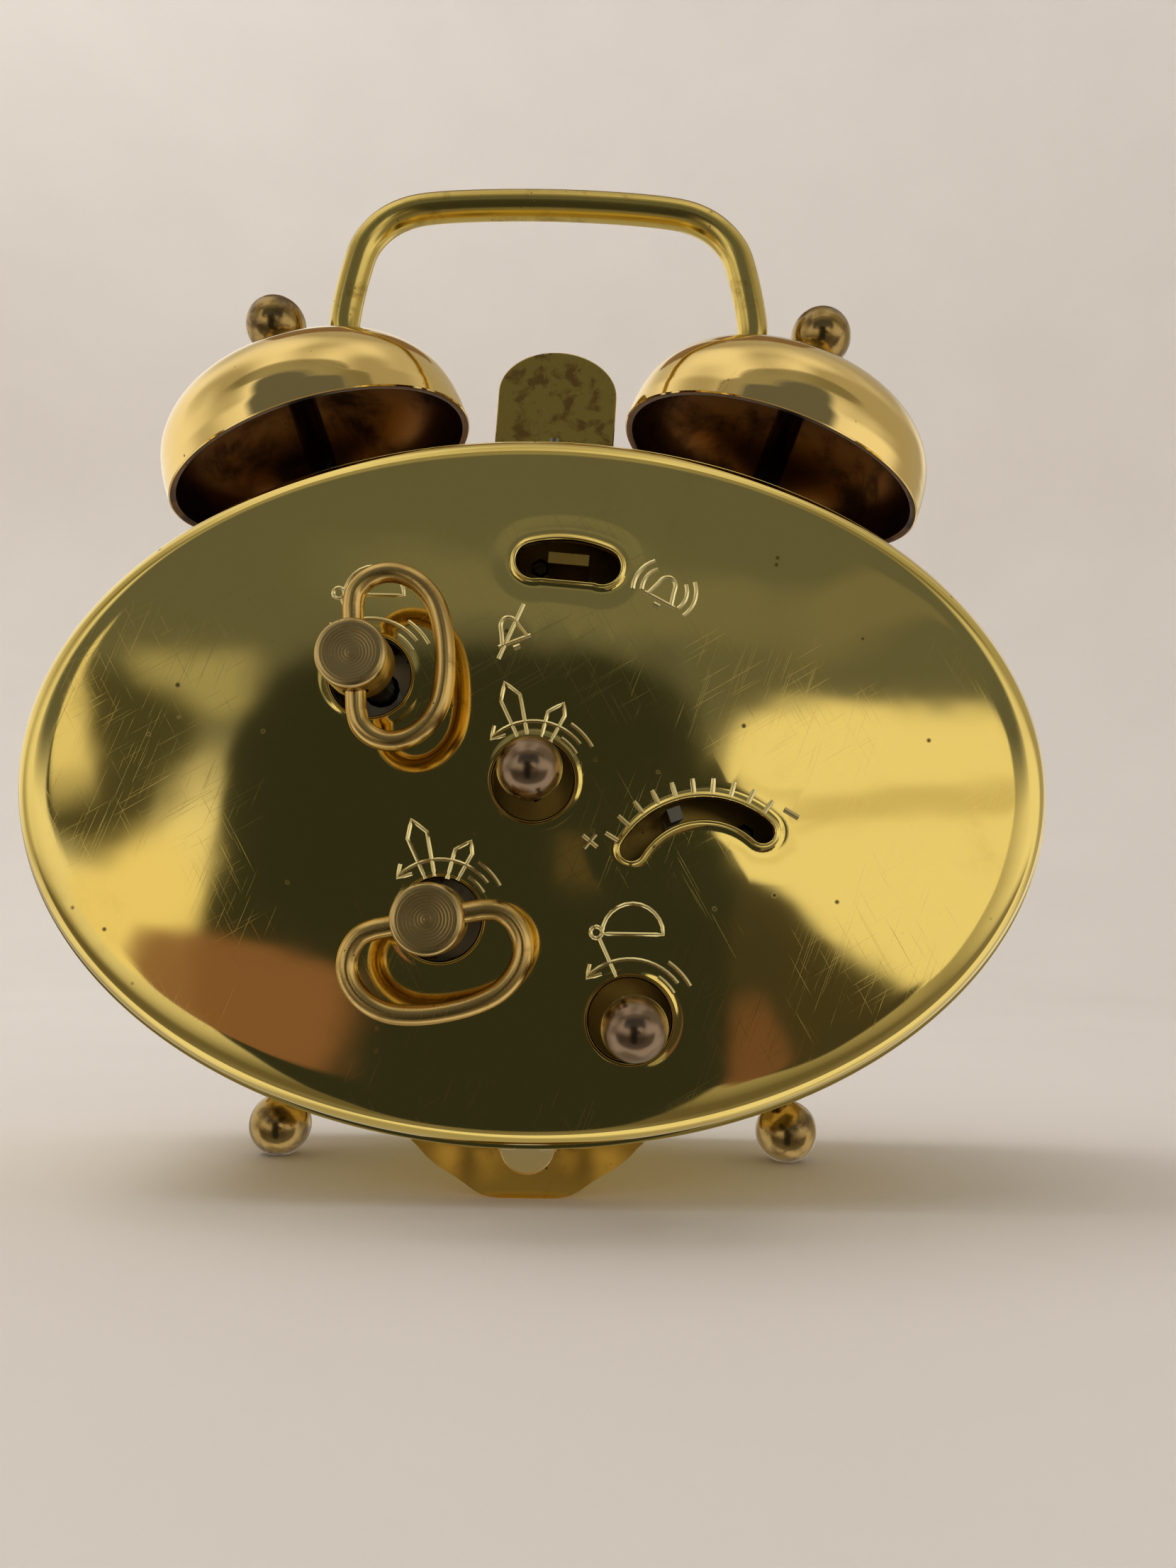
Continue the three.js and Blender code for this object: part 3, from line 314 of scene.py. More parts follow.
def worked(name, base, dull, rough, roughDull, patch=6.0, amount=(0.55, 0.75), waver=0.0, waverSize=9.0,
           hairline=0.25, speck=0.35, speckSize=1.4, rings=None, ringDepth=0.004, speckColour="#3a2c16"):
    # a worked metal: clean metal, patches of tarnish, hairlines, specks and the waver of thin sheet.
    # rings are (which way, spacing in mm): real tool marks are some 0.1 mm apart, and drawn three times as
    # coarse, so that they show
    made, tree, shader, place = startMaterial(name)
    cloud = addNode(tree, "TexNoise", {"Vector": place, "Scale": per(patch), "Detail": 6.0, "Roughness": 0.62,
                                       "Distortion": 0.4})
    tarnish = addNode(tree, "MapRange", {"Value": cloud.outputs[0], "From Min": amount[0],
                                         "From Max": amount[1]},
                      interpolation_type="SMOOTHSTEP").outputs[0]
    lines = None
    for angle, width in hairlineSets:
        stretch = (hairlineLength * mm, hairlineLength * mm, width * mm)
        spread = addNode(tree, "Mapping", {"Vector": place, "Rotation": (0.3, angle, 0.2), "Scale": stretch},
                         vector_type="TEXTURE")
        strand = addNode(tree, "TexNoise",
                         {"Vector": spread.outputs[0], "Scale": 1.0, "Detail": 1.0, "Roughness": 0.4})
        thin = addNode(tree, "MapRange", {"Value": strand.outputs[0], "From Min": 0.7,
                                          "From Max": 0.78}).outputs[0]
        lines = thin if lines is None else addNode(tree, "Math", {0: lines, 1: thin},
                                                   operation="MAXIMUM").outputs[0]
    here = addNode(tree, "TexNoise", {"Vector": place, "Scale": per(14.0), "Detail": 2.0})
    where = addNode(tree, "MapRange", {"Value": here.outputs[0], "From Min": 0.42,
                                       "From Max": 0.62}).outputs[0]
    scratch = addNode(tree, "Math", {0: lines, 1: where}, operation="MULTIPLY").outputs[0]
    dots = addNode(tree, "TexVoronoi", {"Vector": place, "Scale": per(speckSize), "Randomness": 1.0})
    near = addNode(tree, "MapRange", {"Value": dots.outputs["Distance"], "From Min": 0.10,
                                      "From Max": 0.03}).outputs[0]
    chosen = addNode(tree, "SeparateColor", {0: dots.outputs["Color"]}).outputs[0]
    some = addNode(tree, "Math", {0: chosen, 1: 1 - speck}, operation="GREATER_THAN").outputs[0]
    spots = addNode(tree, "Math", {0: near, 1: some}, operation="MULTIPLY").outputs[0]
    mixed = addNode(tree, "Mix", {0: tarnish, 6: colour(base), 7: colour(dull)}, data_type="RGBA").outputs[2]
    spotted = addNode(tree, "Mix", {0: spots, 6: mixed, 7: colour(speckColour)}, data_type="RGBA").outputs[2]
    tree.links.new(spotted, shader.inputs["Base Color"])
    shader.inputs["Metallic"].default_value = 1.0
    blur = addNode(tree, "MapRange", {"Value": tarnish, "To Min": rough, "To Max": roughDull}).outputs[0]
    blur = addNode(tree, "Math", {0: scratch, 1: hairline, 2: blur}, operation="MULTIPLY_ADD").outputs[0]
    blur = addNode(tree, "Math", {0: spots, 1: 0.35, 2: blur}, operation="MULTIPLY_ADD").outputs[0]
    tree.links.new(blur, shader.inputs["Roughness"])
    height = addNode(tree, "Math", {0: tarnish, 1: 0.0006}, operation="MULTIPLY").outputs[0]
    height = addNode(tree, "Math", {0: scratch, 1: -0.0008, 2: height}, operation="MULTIPLY_ADD").outputs[0]
    if waver:
        slow = addNode(tree, "TexNoise", {"Vector": place, "Scale": per(waverSize), "Detail": 1.5,
                                          "Roughness": 0.45})
        height = addNode(tree, "Math", {0: slow.outputs[0], 1: waver, 2: height},
                         operation="MULTIPLY_ADD").outputs[0]
    if rings:
        parts = addNode(tree, "SeparateXYZ", {0: place})
        if rings[0] == "face":
            square = addNode(tree, "Math", {0: parts.outputs[1], 1: parts.outputs[1]},
                             operation="MULTIPLY").outputs[0]
            square = addNode(tree, "Math", {0: parts.outputs[0], 1: parts.outputs[0], 2: square},
                             operation="MULTIPLY_ADD").outputs[0]
            along = addNode(tree, "Math", {0: square}, operation="SQRT").outputs[0]
        else:
            along = parts.outputs[2]
        turns = addNode(tree, "Math", {0: along, 1: per(rings[1]) * turn}, operation="MULTIPLY").outputs[0]
        tone = addNode(tree, "TexNoise", {"Vector": addNode(tree, "CombineXYZ", {0: turns}).outputs[0],
                                          "Scale": 0.37, "Detail": 3.0})
        wave = addNode(tree, "Math", {0: turns}, operation="SINE").outputs[0]
        wave = addNode(tree, "Math", {0: wave, 1: tone.outputs[0]}, operation="MULTIPLY").outputs[0]
        height = addNode(tree, "Math", {0: wave, 1: ringDepth, 2: height},
                         operation="MULTIPLY_ADD").outputs[0]
    bump = addNode(tree, "Bump", {"Height": height, "Strength": 1.0, "Distance": mm})
    tree.links.new(bump.outputs[0], shader.inputs["Normal"])
    return made


# Polished sheet brass under worn lacquer: a mirror with a slow waver, hairlines and a few dust-like pits.
polishedSheet = worked("polished_sheet_brass", "#e9cf78", "#cdb262", 0.05, 0.12, patch=22, amount=(0.5, 0.8),
                       waver=0.05, waverSize=11, hairline=0.05, speck=0.22, speckSize=2.6,
                       speckColour="#6a5a34")
# Stamped lines are the same sheet brass, coloured paler than the field as a painted highlight on the raised
# lines.
crestPaintedHighlight = worked("stamped_brass_painted_highlight", "#f2e0a0", "#dcc47a", 0.16, 0.24, patch=3, hairline=0.1,
                     speck=0.1)
# Spun and buffed brass of the bells: warmer, with brown specks that came through the lacquer.
buffedBell = worked("buffed_bell_brass", "#efd084", "#e0b566", 0.055, 0.11, patch=16, amount=(0.6, 0.88),
                    waver=0.035, waverSize=8, hairline=0.06, speck=0.25, speckSize=1.8, speckColour="#8a5a2c")
# Inside of a bell: the bell's brass painted dark brown, a painted shade of the hollow, with a dull shine.
bellInsidePaintedShade = worked("bell_inside_painted_shade", "#6b4520", "#2c1a0c", 0.3, 0.42, patch=7, amount=(0.42, 0.7),
                      speck=0.4)
# Drawn brass rod, handled for years: patches of tarnish in brown and green.
handledRod = worked("handled_brass_rod", "#dcc26c", "#a2863e", 0.2, 0.3, patch=3.6, amount=(0.52, 0.78),
                    hairline=0.1,
                    speck=0.6, speckSize=1.1, speckColour="#3a2a14")
# Flat brass of the hammer, mottled purple-brown by air.
mottledFlat = worked("mottled_hammer_brass", "#d0b358", "#94743f", 0.26, 0.36, patch=2.2, amount=(0.48, 0.62),
                     hairline=0.1,
                     speck=0.6, speckSize=1.2, speckColour="#3c2820")
# Turned brass balls: tool rings, grey-brown where the lacquer is gone.
turnedBall = worked("turned_ball_brass", "#a68a54", "#5f4e3a", 0.17, 0.3, patch=3.4, amount=(0.46, 0.7),
                    speck=0.4,
                    speckSize=1.2, rings=("side", 0.34), ringDepth=0.0012, speckColour="#33261a")
# Copper-toned plating on the setting knobs: a smooth mauve-grey mirror.
plumKnob = worked("plum_plated_knob", "#88725c", "#66523f", 0.2, 0.28, patch=2.6, amount=(0.5, 0.75),
                  speck=0.35,
                  speckSize=1.1, speckColour="#3d2f2a")
# Turned key heads: brown-gold with the circles left by the parting tool.
turnedHead = worked("turned_key_head", "#c6ab72", "#a08654", 0.28, 0.36, patch=2.4, speck=0.4, speckSize=0.9,
                    rings=("face", 0.26), ringDepth=0.006)
# Bent brass wire of the keys, bright brass with patches of brown.
bailWire = worked("bent_bail_wire", "#cfae6a", "#a5864c", 0.24, 0.34, patch=2.8, amount=(0.5, 0.75),
                  hairline=0.1, speck=0.35, speckSize=0.9)
# Stamped foot, never lacquered: amber brass with a soft shine.
amberFoot = worked("amber_stamped_foot", "#e2b04a", "#bf8c36", 0.34, 0.42, patch=5, amount=(0.5, 0.75),
                   hairline=0.1, speck=0.3)
# Rolled plates and cut wheels of the movement, satin brass.
movementSheet = worked("satin_movement_brass", "#b8984c", "#86682e", 0.3, 0.42, patch=5, hairline=0.2)
# Nickel-bright steel of arbors and levers, dulled by oil.
oiledSteel = worked("oiled_bright_steel", "#8f8a80", "#5c4c38", 0.3, 0.45, patch=3, speck=0.5)
# Blued and oiled steel of springs and bell posts, nearly black.
darkSteel = worked("dark_oiled_steel", "#4c4a49", "#2c2724", 0.32, 0.5, patch=4)


def painted(name, tones, size, rough, **look):
    # a paint or a board in two close tones, in soft patches of this size
    made, tree, shader, place = startMaterial(name)
    patches = addNode(tree, "TexNoise", {"Vector": place, "Scale": per(size), **look})
    tone = addNode(tree, "Mix", {0: patches.outputs[0], 6: colour(tones[0]), 7: colour(tones[1])},
                   data_type="RGBA")
    tree.links.new(tone.outputs[2], shader.inputs["Base Color"])
    shader.inputs["Roughness"].default_value = rough
    return made, tree, shader, place


# Painted steel hands, satin black.
handPaint = painted("satin_black_hand_paint", ("#15130f", "#2a2620"), 0.4, 0.42, Detail=3.0)[0]
# Ivory lacquer on the dial, faintly yellowed in patches, with a fine orange peel.
dialLacquer, tree, shader, place = painted("ivory_dial_lacquer", ("#f1e8d2", "#e4d5b2"), 16, 0.4,
                                           Detail=5.0, Roughness=0.6)
peel = addNode(tree, "TexNoise", {"Vector": place, "Scale": per(0.5), "Detail": 2.0})
bump = addNode(tree, "Bump", {"Height": peel.outputs[0], "Strength": 0.2, "Distance": 0.01 * mm})
tree.links.new(bump.outputs[0], shader.inputs["Normal"])
# Mineral glass of the crystal, with faint wear on its dome.
crystalGlass, tree, shader, place = startMaterial("clear_crystal_glass")
shader.inputs["Base Color"].default_value = colour("#f6faf8")
shader.inputs["Transmission Weight"].default_value = 1.0
shader.inputs["IOR"].default_value = 1.5
wear = addNode(tree, "TexNoise", {"Vector": place, "Scale": per(7), "Detail": 5.0})
blur = addNode(tree, "MapRange", {"Value": wear.outputs[0], "From Min": 0.5, "From Max": 0.8, "To Min": 0.01,
                                  "To Max": 0.07})
tree.links.new(blur.outputs[0], shader.inputs["Roughness"])
print("materials made")

# back cover: one stamped sheet with rolled holes, rimmed slots and a rounded shoulder
cover = {
    "fieldInset": 3.5,      # the flat field ends here, inside the edge
    "sheet": 0.4,
    "holeRadius": 3.5,
    "holeSides": 96,
    "outerSides": 288,
    "grid": 3.4,            # spacing of points on the flat field
    "regulator": {"reach": 7.35, "lean": 8.6, "sweep": 51, "half": 0.95},
    "stop": {"reach": 9.25, "lean": -4.2, "sweep": 19, "half": 1.6},
    "stopPivot": (-2.05, 10.5),     # from the middle of the cover
    "clear": 1.2,           # no point of the field comes nearer to the shoulder
}
rowShare = 0.87             # between rows of points, for triangles with even sides
centreAt = middle("time_set_knob")
timeKeyAt = middle("time_key_stud")
alarmKeyAt = middle("alarm_key_stud")
alarmSetAt = middle("alarm_set_knob")
balanceAt = middle("balance_wheel")
balancePivot = (balanceAt.x, balanceAt.z - caseMiddle)
holePlaces = [(p.x, p.z - caseMiddle) for p in (centreAt, timeKeyAt, alarmKeyAt, alarmSetAt)]


def ovalLine(wide, tall, sides, x=0, z=0):
    angles = [turn * i / sides for i in range(sides)]
    return [(x + wide * math.cos(a), z + tall * math.sin(a)) for a in angles]


def arcLoop(pivot, slot, grow, arcSteps=44, endSteps=16, straight=0.0):
    # the outline of a curved slot, grown outwards
    half = slot["half"] + grow
    loop = []
    for i in range(arcSteps):
        loop.append(polar(*pivot, slot["reach"] + half,
                          slot["lean"] - slot["sweep"] + 2 * slot["sweep"] * i / arcSteps))
    for end, start in ((1, 0), (-1, 180)):
        at = polar(*pivot, slot["reach"], slot["lean"] + end * slot["sweep"])
        for i in range(endSteps):
            loop.append(polar(*at, half, slot["lean"] + end * slot["sweep"] + start + 180 * i / endSteps))
        if end == 1:
            for i in range(arcSteps):
                angle = slot["sweep"] * (1 - 2 * i / arcSteps)
                chord = math.cos(math.radians(slot["sweep"])) / math.cos(math.radians(angle))
                sag = 1 + straight * (chord - 1)
                loop.append(polar(*pivot, (slot["reach"] - half) * sag, slot["lean"] + angle))
    return loop


def inside(x, z, loop):
    hit = False
    for (x1, z1), (x2, z2) in zip(loop, loop[1:] + loop[:1]):
        if (z1 > z) != (z2 > z) and x < x1 + (z - z1) * (x2 - x1) / (z2 - z1):
            hit = not hit
    return hit


# (growth, height) rings from the flat field into each opening
holeRings = [(1.1, 0), (0.62, 0), (0.45, 0.03), (0.3, 0.03), (0.17, -0.03), (0.07, -0.16), (0.01, -0.36),
             (0, -0.6), (0, -1.0)]
slotRings = [(1.5, 0), (1.0, -0.02), (0.62, -0.03), (0.44, 0.02), (0.34, 0.14), (0.22, 0.2), (0.12, 0.17),
             (0.03, 0.04), (0, -0.2), (0, -0.7)]
stopRings = [(2.4, 0), (1.8, -0.015), (1.2, -0.045), (0.75, -0.06), (0.42, -0.045), (0.33, 0.05),
             (0.23, 0.13), (0.12, 0.12), (0.03, 0.03), (0, -0.2), (0, -0.7)]


shoulderRings = [(3.1, -0.005), (2.6, -0.03), (2.1, -0.075), (1.7, -0.14), (1.35, -0.235), (1.05, -0.38),
                 (0.78, -0.58), (0.52, -0.85), (0.3, -1.17), (0.13, -1.55), (0.03, -1.95), (0.0, -2.3),
                 (0.0, -2.58), (0.12, -2.6), (0.5, -2.6), (0.5, -4.9)]


def coverMesh():
    sides, inset, radius = cover["outerSides"], cover["fieldInset"], cover["holeRadius"]
    outer = ovalLine(halfWidth - inset, halfHeight - inset, sides)
    openings = [([ovalLine(radius + g, radius + g, cover["holeSides"], x, z) for g, _ in holeRings],
                 holeRings)
                for x, z in holePlaces]
    openings.append(([arcLoop(balancePivot, cover["regulator"], g) for g, _ in slotRings], slotRings))
    openings.append(([arcLoop(cover["stopPivot"], cover["stop"], g, straight=1.0) for g, _ in stopRings],
                     stopRings))
    holes = [grown[0] for grown, _ in openings]
    flat, edges, starts = [], [], []
    for loop in [outer] + holes:
        start = len(flat)
        starts.append(start)
        flat += loop
        edges += [(start + i, start + (i + 1) % len(loop)) for i in range(len(loop))]

    def onSheet(x, z):
        return not any(inside(x, z, loop) for loop in holes)

    step, room = cover["grid"], inset + cover["clear"]
    across, down = int(halfWidth / step) + 1, int(halfHeight / step) + 1
    for i in range(-across, across + 1):
        for j in range(-down, down + 1):
            x, z = (i + 0.5 * (j % 2)) * step, j * step * rowShare
            if (x / (halfWidth - room)) ** 2 + (z / (halfHeight - room)) ** 2 <= 1 and onSheet(x, z):
                flat.append((x, z))
    # a ring just inside the shoulder keeps the field's shading flat
    flat += [(x * (1 - 0.5 / halfWidth), z * (1 - 0.5 / halfHeight)) for x, z in outer]
    made, _, triangles, sources, _, _ = delaunay_2d_cdt([Vector(p) for p in flat], edges, [], 1, 1e-7)
    fromInput = {s: k for k, source in enumerate(sources) for s in source}
    points = [(p.x, coverBack, caseMiddle + p.y) for p in made]
    faces = [tuple(face) for face in triangles
             if onSheet(sum(made[k].x for k in face) / len(face), sum(made[k].y for k in face) / len(face))]

    def carry(start, loops):
        # rings of (outline, height over the field), from a line of the field outwards or into an opening
        last = [fromInput[start + i] for i in range(len(loops[0][0]))]
        for loop, height in loops:
            here = len(points)
            points.extend((x, coverBack + height, caseMiddle + z) for x, z in loop)
            fresh = list(range(here, here + len(loop)))
            faces.extend(bridge(last, fresh))
            last = fresh

    for (grown, rings), start in zip(openings, starts[1:]):
        carry(start, [(loop, height) for loop, (_, height) in zip(grown[1:], rings[1:])])
    carry(starts[0], [(ovalLine(halfWidth - i, halfHeight - i, sides), height) for i,
                      height in shoulderRings])
    return points, faces


coverPiece = newPiece("backCover", *coverMesh(), polishedSheet, nodes=["back_cover"], sharp=60)
thick = coverPiece.modifiers.new("sheet", "SOLIDIFY")
thick.thickness, thick.offset = cover["sheet"] * mm, -1
print("back cover made")

# stamped lines on the cover: signs for winding, setting and ringing, and the regulator's scale
relief = {
    "width": 0.38,
    "height": 0.12,
    "ticks": (59.3, -35.6, 10),     # first and last angle, number
    "tickReach": (8.35, 9.98),
    "tickWidth": 0.42,
    "cross": (-5.0, -5.27),         # the signs at the ends of the scale
    "dash": (-22.3, -2.6),
    "ringing": (-11.2, 16.9),       # the signs at the ends of the stop slot
    "silent": (2.2, 13.0),
}


def crest(line, width, height, closed=False):
    # a low rounded ridge along a line of (x, z) on the cover
    section = [(-0.5, -0.06), (-0.36, 0.1), (-0.2, 0.72), (-0.07, 0.98), (0.07, 0.98), (0.2, 0.72),
               (0.36, 0.1), (0.5, -0.06)]
    count = len(line)
    points, rings = [], []
    for i, (x, z) in enumerate(line):
        if closed:
            (x1, z1), (x2, z2) = line[i - 1], line[(i + 1) % count]
        else:
            (x1, z1), (x2, z2) = line[max(i - 1, 0)], line[min(i + 1, count - 1)]
        length = math.hypot(x2 - x1, z2 - z1) or 1
        ax, az = (z2 - z1) / length, -(x2 - x1) / length
        start = len(points)
        for across, up in section:
            points.append((x + ax * across * width, coverBack + up * height,
                           caseMiddle + z + az * across * width))
        rings.append(list(range(start, start + len(section))))
    faces = bridgeAll(rings, closed)
    if not closed:
        faces += [tuple(rings[0]), tuple(reversed(rings[-1]))]
    return points, faces


def drawn(at, line, width=None, closed=False, turned=0.0, each=1):
    # a line given to the right and up from a hole, as the back is looked at
    ca, sa = math.cos(math.radians(turned)), math.sin(math.radians(turned))
    flat = [(at[0] - (r * ca - u * sa), at[1] + r * sa + u * ca) for r, u in line]
    if each > 1:
        flat = [(p.x, p.y) for p in smooth([Vector((x, z, 0)) for x, z in flat], each, closed)]
    fine = []
    count = len(flat)
    for i in range(count if closed else count - 1):
        (x1, z1), (x2, z2) = flat[i], flat[(i + 1) % count]
        steps = max(1, int(math.hypot(x2 - x1, z2 - z1) / 0.5))
        fine += [(x1 + (x2 - x1) * k / steps, z1 + (z2 - z1) * k / steps) for k in range(steps)]
    if not closed:
        fine.append(flat[-1])
    return crest(fine, width or relief["width"], relief["height"], closed)


def arcLine(radius, first, last, steps=14):
    # angles from straight up towards the right
    return [(radius * math.sin(math.radians(a)), radius * math.cos(math.radians(a)))
            for a in [first + (last - first) * i / steps for i in range(steps + 1)]]


def turnSign(at):
    # a curved arrow between two short arcs
    return [drawn(at, arcLine(5.1, -45, 52)), drawn(at, [(-3.47, 4.64), (-3.69, 3.44), (-2.43, 3.82)]),
            drawn(at, arcLine(5.85, 33, 60)), drawn(at, arcLine(4.35, 33, 58))]


def handsSign(at):
    # the arrow with two hands of a clock
    return turnSign(at) + [
        drawn(at, [(-1.29, 3.44), (-2.93, 6.82), (-2.65, 8.46), (-1.29, 7.42), (-0.52, 3.66)]),
        drawn(at, [(0.57, 3.44), (1.17, 5.95), (2.53, 6.71), (2.64, 5.62), (1.44, 3.33)])]


def bellSign(at):
    # half a bell with its hammer
    half = [polar(0.15, 7.2, 2.6, a) for a in range(-90, 91, 15)]
    return [drawn(at, half, closed=True),
            drawn(at, ovalLine(0.5, 0.5, 12, -2.95, 7.3), closed=True, width=0.4),
            drawn(at, [(-2.7, 6.8), (-1.2, 3.6)])]


signs = handsSign(holePlaces[0]) + handsSign(holePlaces[1])
for at in (holePlaces[3], holePlaces[2]):
    signs += bellSign(at) + turnSign(at)
firstTick, lastTick, tickCount = relief["ticks"]
for i in range(tickCount):
    angle = firstTick + (lastTick - firstTick) * i / (tickCount - 1)
    inner, outer = [polar(*balancePivot, reach, angle) for reach in relief["tickReach"]]
    between = ((inner[0] + outer[0]) / 2, (inner[1] + outer[1]) / 2)
    signs.append(crest([inner, between, outer], relief["tickWidth"], relief["height"]))
for bar in ([(-0.62, 0.5), (0.62, -0.5)], [(-0.5, -0.62), (0.5, 0.62)]):
    signs.append(drawn(relief["cross"], bar, width=relief["tickWidth"]))
signs.append(drawn(relief["dash"], [(-0.62, 0.36), (0.62, -0.36)], width=0.55))


def smallBell(at, turned, crossed=False):
    # a bell between its two states: ringing arcs, or a bar across it
    side = [(-1.15, -0.9), (-0.85, 0.1), (-0.6, 0.95)]
    lines = [drawn(at, side + [(0, 1.3)] + [(-x, z) for x, z in side[::-1]], turned=turned, each=3,
                   width=0.42),
             drawn(at, [(-1.5, -0.95), (1.5, -0.95)], turned=turned, width=0.42),
             drawn(at, [(-0.3, -1.5), (0.3, -1.5)], turned=turned, width=0.55)]
    if crossed:
        lines.append(drawn(at, [(-1.9, -1.9), (1.9, 1.9)], turned=turned, width=0.42))
    else:
        for side in (-1, 1):
            for reach in (2.0, 2.8):
                arc = [polar(0, 0, reach, side * (90 - a)) for a in range(-25, 46, 10)]
                lines.append(drawn(at, arc, turned=turned, width=0.4))
    return lines


signs += smallBell(relief["ringing"], -28) + smallBell(relief["silent"], 22, crossed=True)
# the raised signs are drawn in the paler brass of the painted highlight
newPiece("coverSigns", *joined(signs), crestPaintedHighlight, sharp=50)
print("stamped signs made")

# case drum with its beaded rims, bezel, crystal and dial
case = {
    "proud": 0.6,           # of the cover's edge
    "sheet": 0.8,
    "slot": (3.5, 3.2),     # for the hammer: half width, width in depth
    "notch": (1.05, 1.4),   # half width, height
    "seam": (0.5, 0.62),
}
drumLow, drumHigh = corners("case_drum")
bezelLow, bezelHigh = corners("front_bezel")
out, wall = -case["proud"], case["sheet"] - case["proud"]
drumProfile = [(wall, drumHigh.y - 0.3), (wall - 0.12, drumHigh.y - 0.06), (-0.3, drumHigh.y),
               (out + 0.08, drumHigh.y - 0.1),
               (out, drumHigh.y - 0.4), (out, drumHigh.y - 1.2), (out + 0.1, drumHigh.y - 1.5),
               (out + 0.1, drumHigh.y - 2.0),
               (out + 0.1, 0.0), (out + 0.1, drumLow.y + 0.4), (out + 0.1, drumLow.y), (wall, drumLow.y),
               (wall, 0.0)]
drum = newPiece("caseDrum", *ovalLoft(drumProfile), polishedSheet, nodes=["case_drum"], sharp=50)
bellPlane = middle("handle").y
halfSlot, slotDeep = case["slot"]
notchHalf, notchHigh = case["notch"]
cutAway(drum, [plainSolid(*block(*sides)) for sides in (
    ((-halfSlot, halfSlot), (bellPlane - slotDeep / 2, bellPlane + slotDeep / 2),
     (drumHigh.z - 5, drumHigh.z + 3)),
    ((-notchHalf, notchHalf), (drumHigh.y - 0.9, drumHigh.y + 1), (drumLow.z - 1, drumLow.z + notchHigh)),
    (case["seam"], (drumHigh.y - 6, drumHigh.y + 1), (drumHigh.z - 0.5, drumHigh.z + 1)))])

back, front = bezelHigh.y, bezelLow.y
grip = -case["proud"] - 0.3
lip = 5.6
bezelProfile = [(grip, back), (-1.55, back), (-1.8, back - 0.2), (-1.8, back - 1.6), (-1.62, back - 1.9),
                (-1.62, back - 2.3),
                (-1.8, back - 2.6), (-1.8, back - 3.6), (-1.7, back - 4.3), (-1.4, back - 5.0),
                (-0.9, back - 5.65),
                (-0.2, back - 6.2), (0.6, front + 0.12), (1.3, front), (2.0, front + 0.1), (2.5, front + 0.5),
                (2.8, front + 0.62),
                (3.2, front + 0.5), (3.8, front + 0.3), (4.6, front + 0.36), (5.3, front + 0.7),
                (lip, front + 1.1), (lip, front + 1.6),
                (4.2, front + 1.7), (4.2, front + 3.6), (grip, front + 3.9)]
newPiece("frontBezel", *ovalLoft(bezelProfile), polishedSheet, nodes=["front_bezel"], sharp=55)

glass = {"lip": 3.9, "domeInset": 6.2, "thick": 1.0, "rows": 14, "round": 2.2}
glassLow, glassHigh = corners("crystal")
rise = front + 1.9 - glassLow.y


def dome(offset):
    # (share of the half widths, y) from the middle to the foot of the dome
    shares = [math.sin(k / glass["rows"] * math.pi / 2) for k in range(glass["rows"] + 1)]
    return [(share, glassLow.y + offset + rise * (1 - math.sqrt(max(0, 1 - share ** glass["round"]))))
            for share in shares]


def crystalMesh(sides=192):
    wide, tall = halfWidth - glass["domeInset"], halfHeight - glass["domeInset"]
    outer = dome(0)
    inner = [(share * 0.975, y) for share, y in reversed(dome(glass["thick"]))]
    foot = (halfWidth - glass["lip"]) / wide
    rows = outer[1:] + [(foot, glassHigh.y - glass["thick"]), (foot, glassHigh.y)] + inner[:-1]
    points, rings = ovalRings([(share * wide, share * tall, y) for share, y in rows], sides)
    faces = bridgeAll(rings)
    for ring, y in ((rings[0], outer[0][1]), (rings[-1], inner[-1][1])):
        faces += [(len(points), ring[(i + 1) % sides], ring[i]) for i in range(sides)]
        points.append((0, y, caseMiddle))
    return points, faces


newPiece("crystal_dome", *crystalMesh(), crystalGlass, slotName="clear_glass", nodes=["crystal"], sharp=50)

dialLow, dialHigh = corners("dial")
dialFace = dialLow.y
dialHole = 2.2
alarmGroove = (12.5, 12.7, 12.95)       # a pressed ring round the alarm scale


def dialMesh(sides=192):
    wide, tall = (dialHigh.x - dialLow.x) / 2, (dialHigh.z - dialLow.z) / 2
    inner, bottom, outer = alarmGroove
    rows = [(dialHole, dialHole, 0), (inner, inner, 0), (bottom, bottom, -0.05), (outer, outer, 0),
            (wide - 0.3, tall - 0.3, 0), (wide, tall, 0.15), (wide, tall, 0.5), (dialHole, dialHole, 0.5)]
    points, rings = ovalRings([(w, h, dialFace + y) for w, h, y in rows], sides)
    return points, bridgeAll(rings, shut=True)


newPiece("dial_plate", *dialMesh(), dialLacquer, slotName="dial_enamel", nodes=["dial"], sharp=50)

track = {
    "inset": 8.2,
    "minute": (0.16, 1.5),      # width and length of a mark
    "five": (0.42, 1.5 * 1.35),
    "alarmRadius": 11.9,
    "quarter": (0.14, 0.7),
    "hour": (0.14, 1.3),
    "ink": (0.001, 0.03),       # back and front, in front of the dial
    "numeralInset": 12.4,
    "numeral": 6.0,
}


def ovalReach(inset, a):
    # from the dial's centre to an oval this far inside the cover's edge
    return 1 / math.hypot(math.sin(a) / (halfWidth - inset), math.cos(a) / (halfHeight - inset))


def dialMark(a, reach, width, length):
    # a bar that points at the dial's centre, where the hands turn
    corner = []
    for along, across in ((reach, -width / 2), (reach, width / 2), (reach - length, width / 2),
                          (reach - length, -width / 2)):
        corner.append((-(along * math.sin(a) + across * math.cos(a)),
                       along * math.cos(a) - across * math.sin(a) + caseMiddle))
    return plate(corner, dialFace - track["ink"][0], dialFace - track["ink"][1])


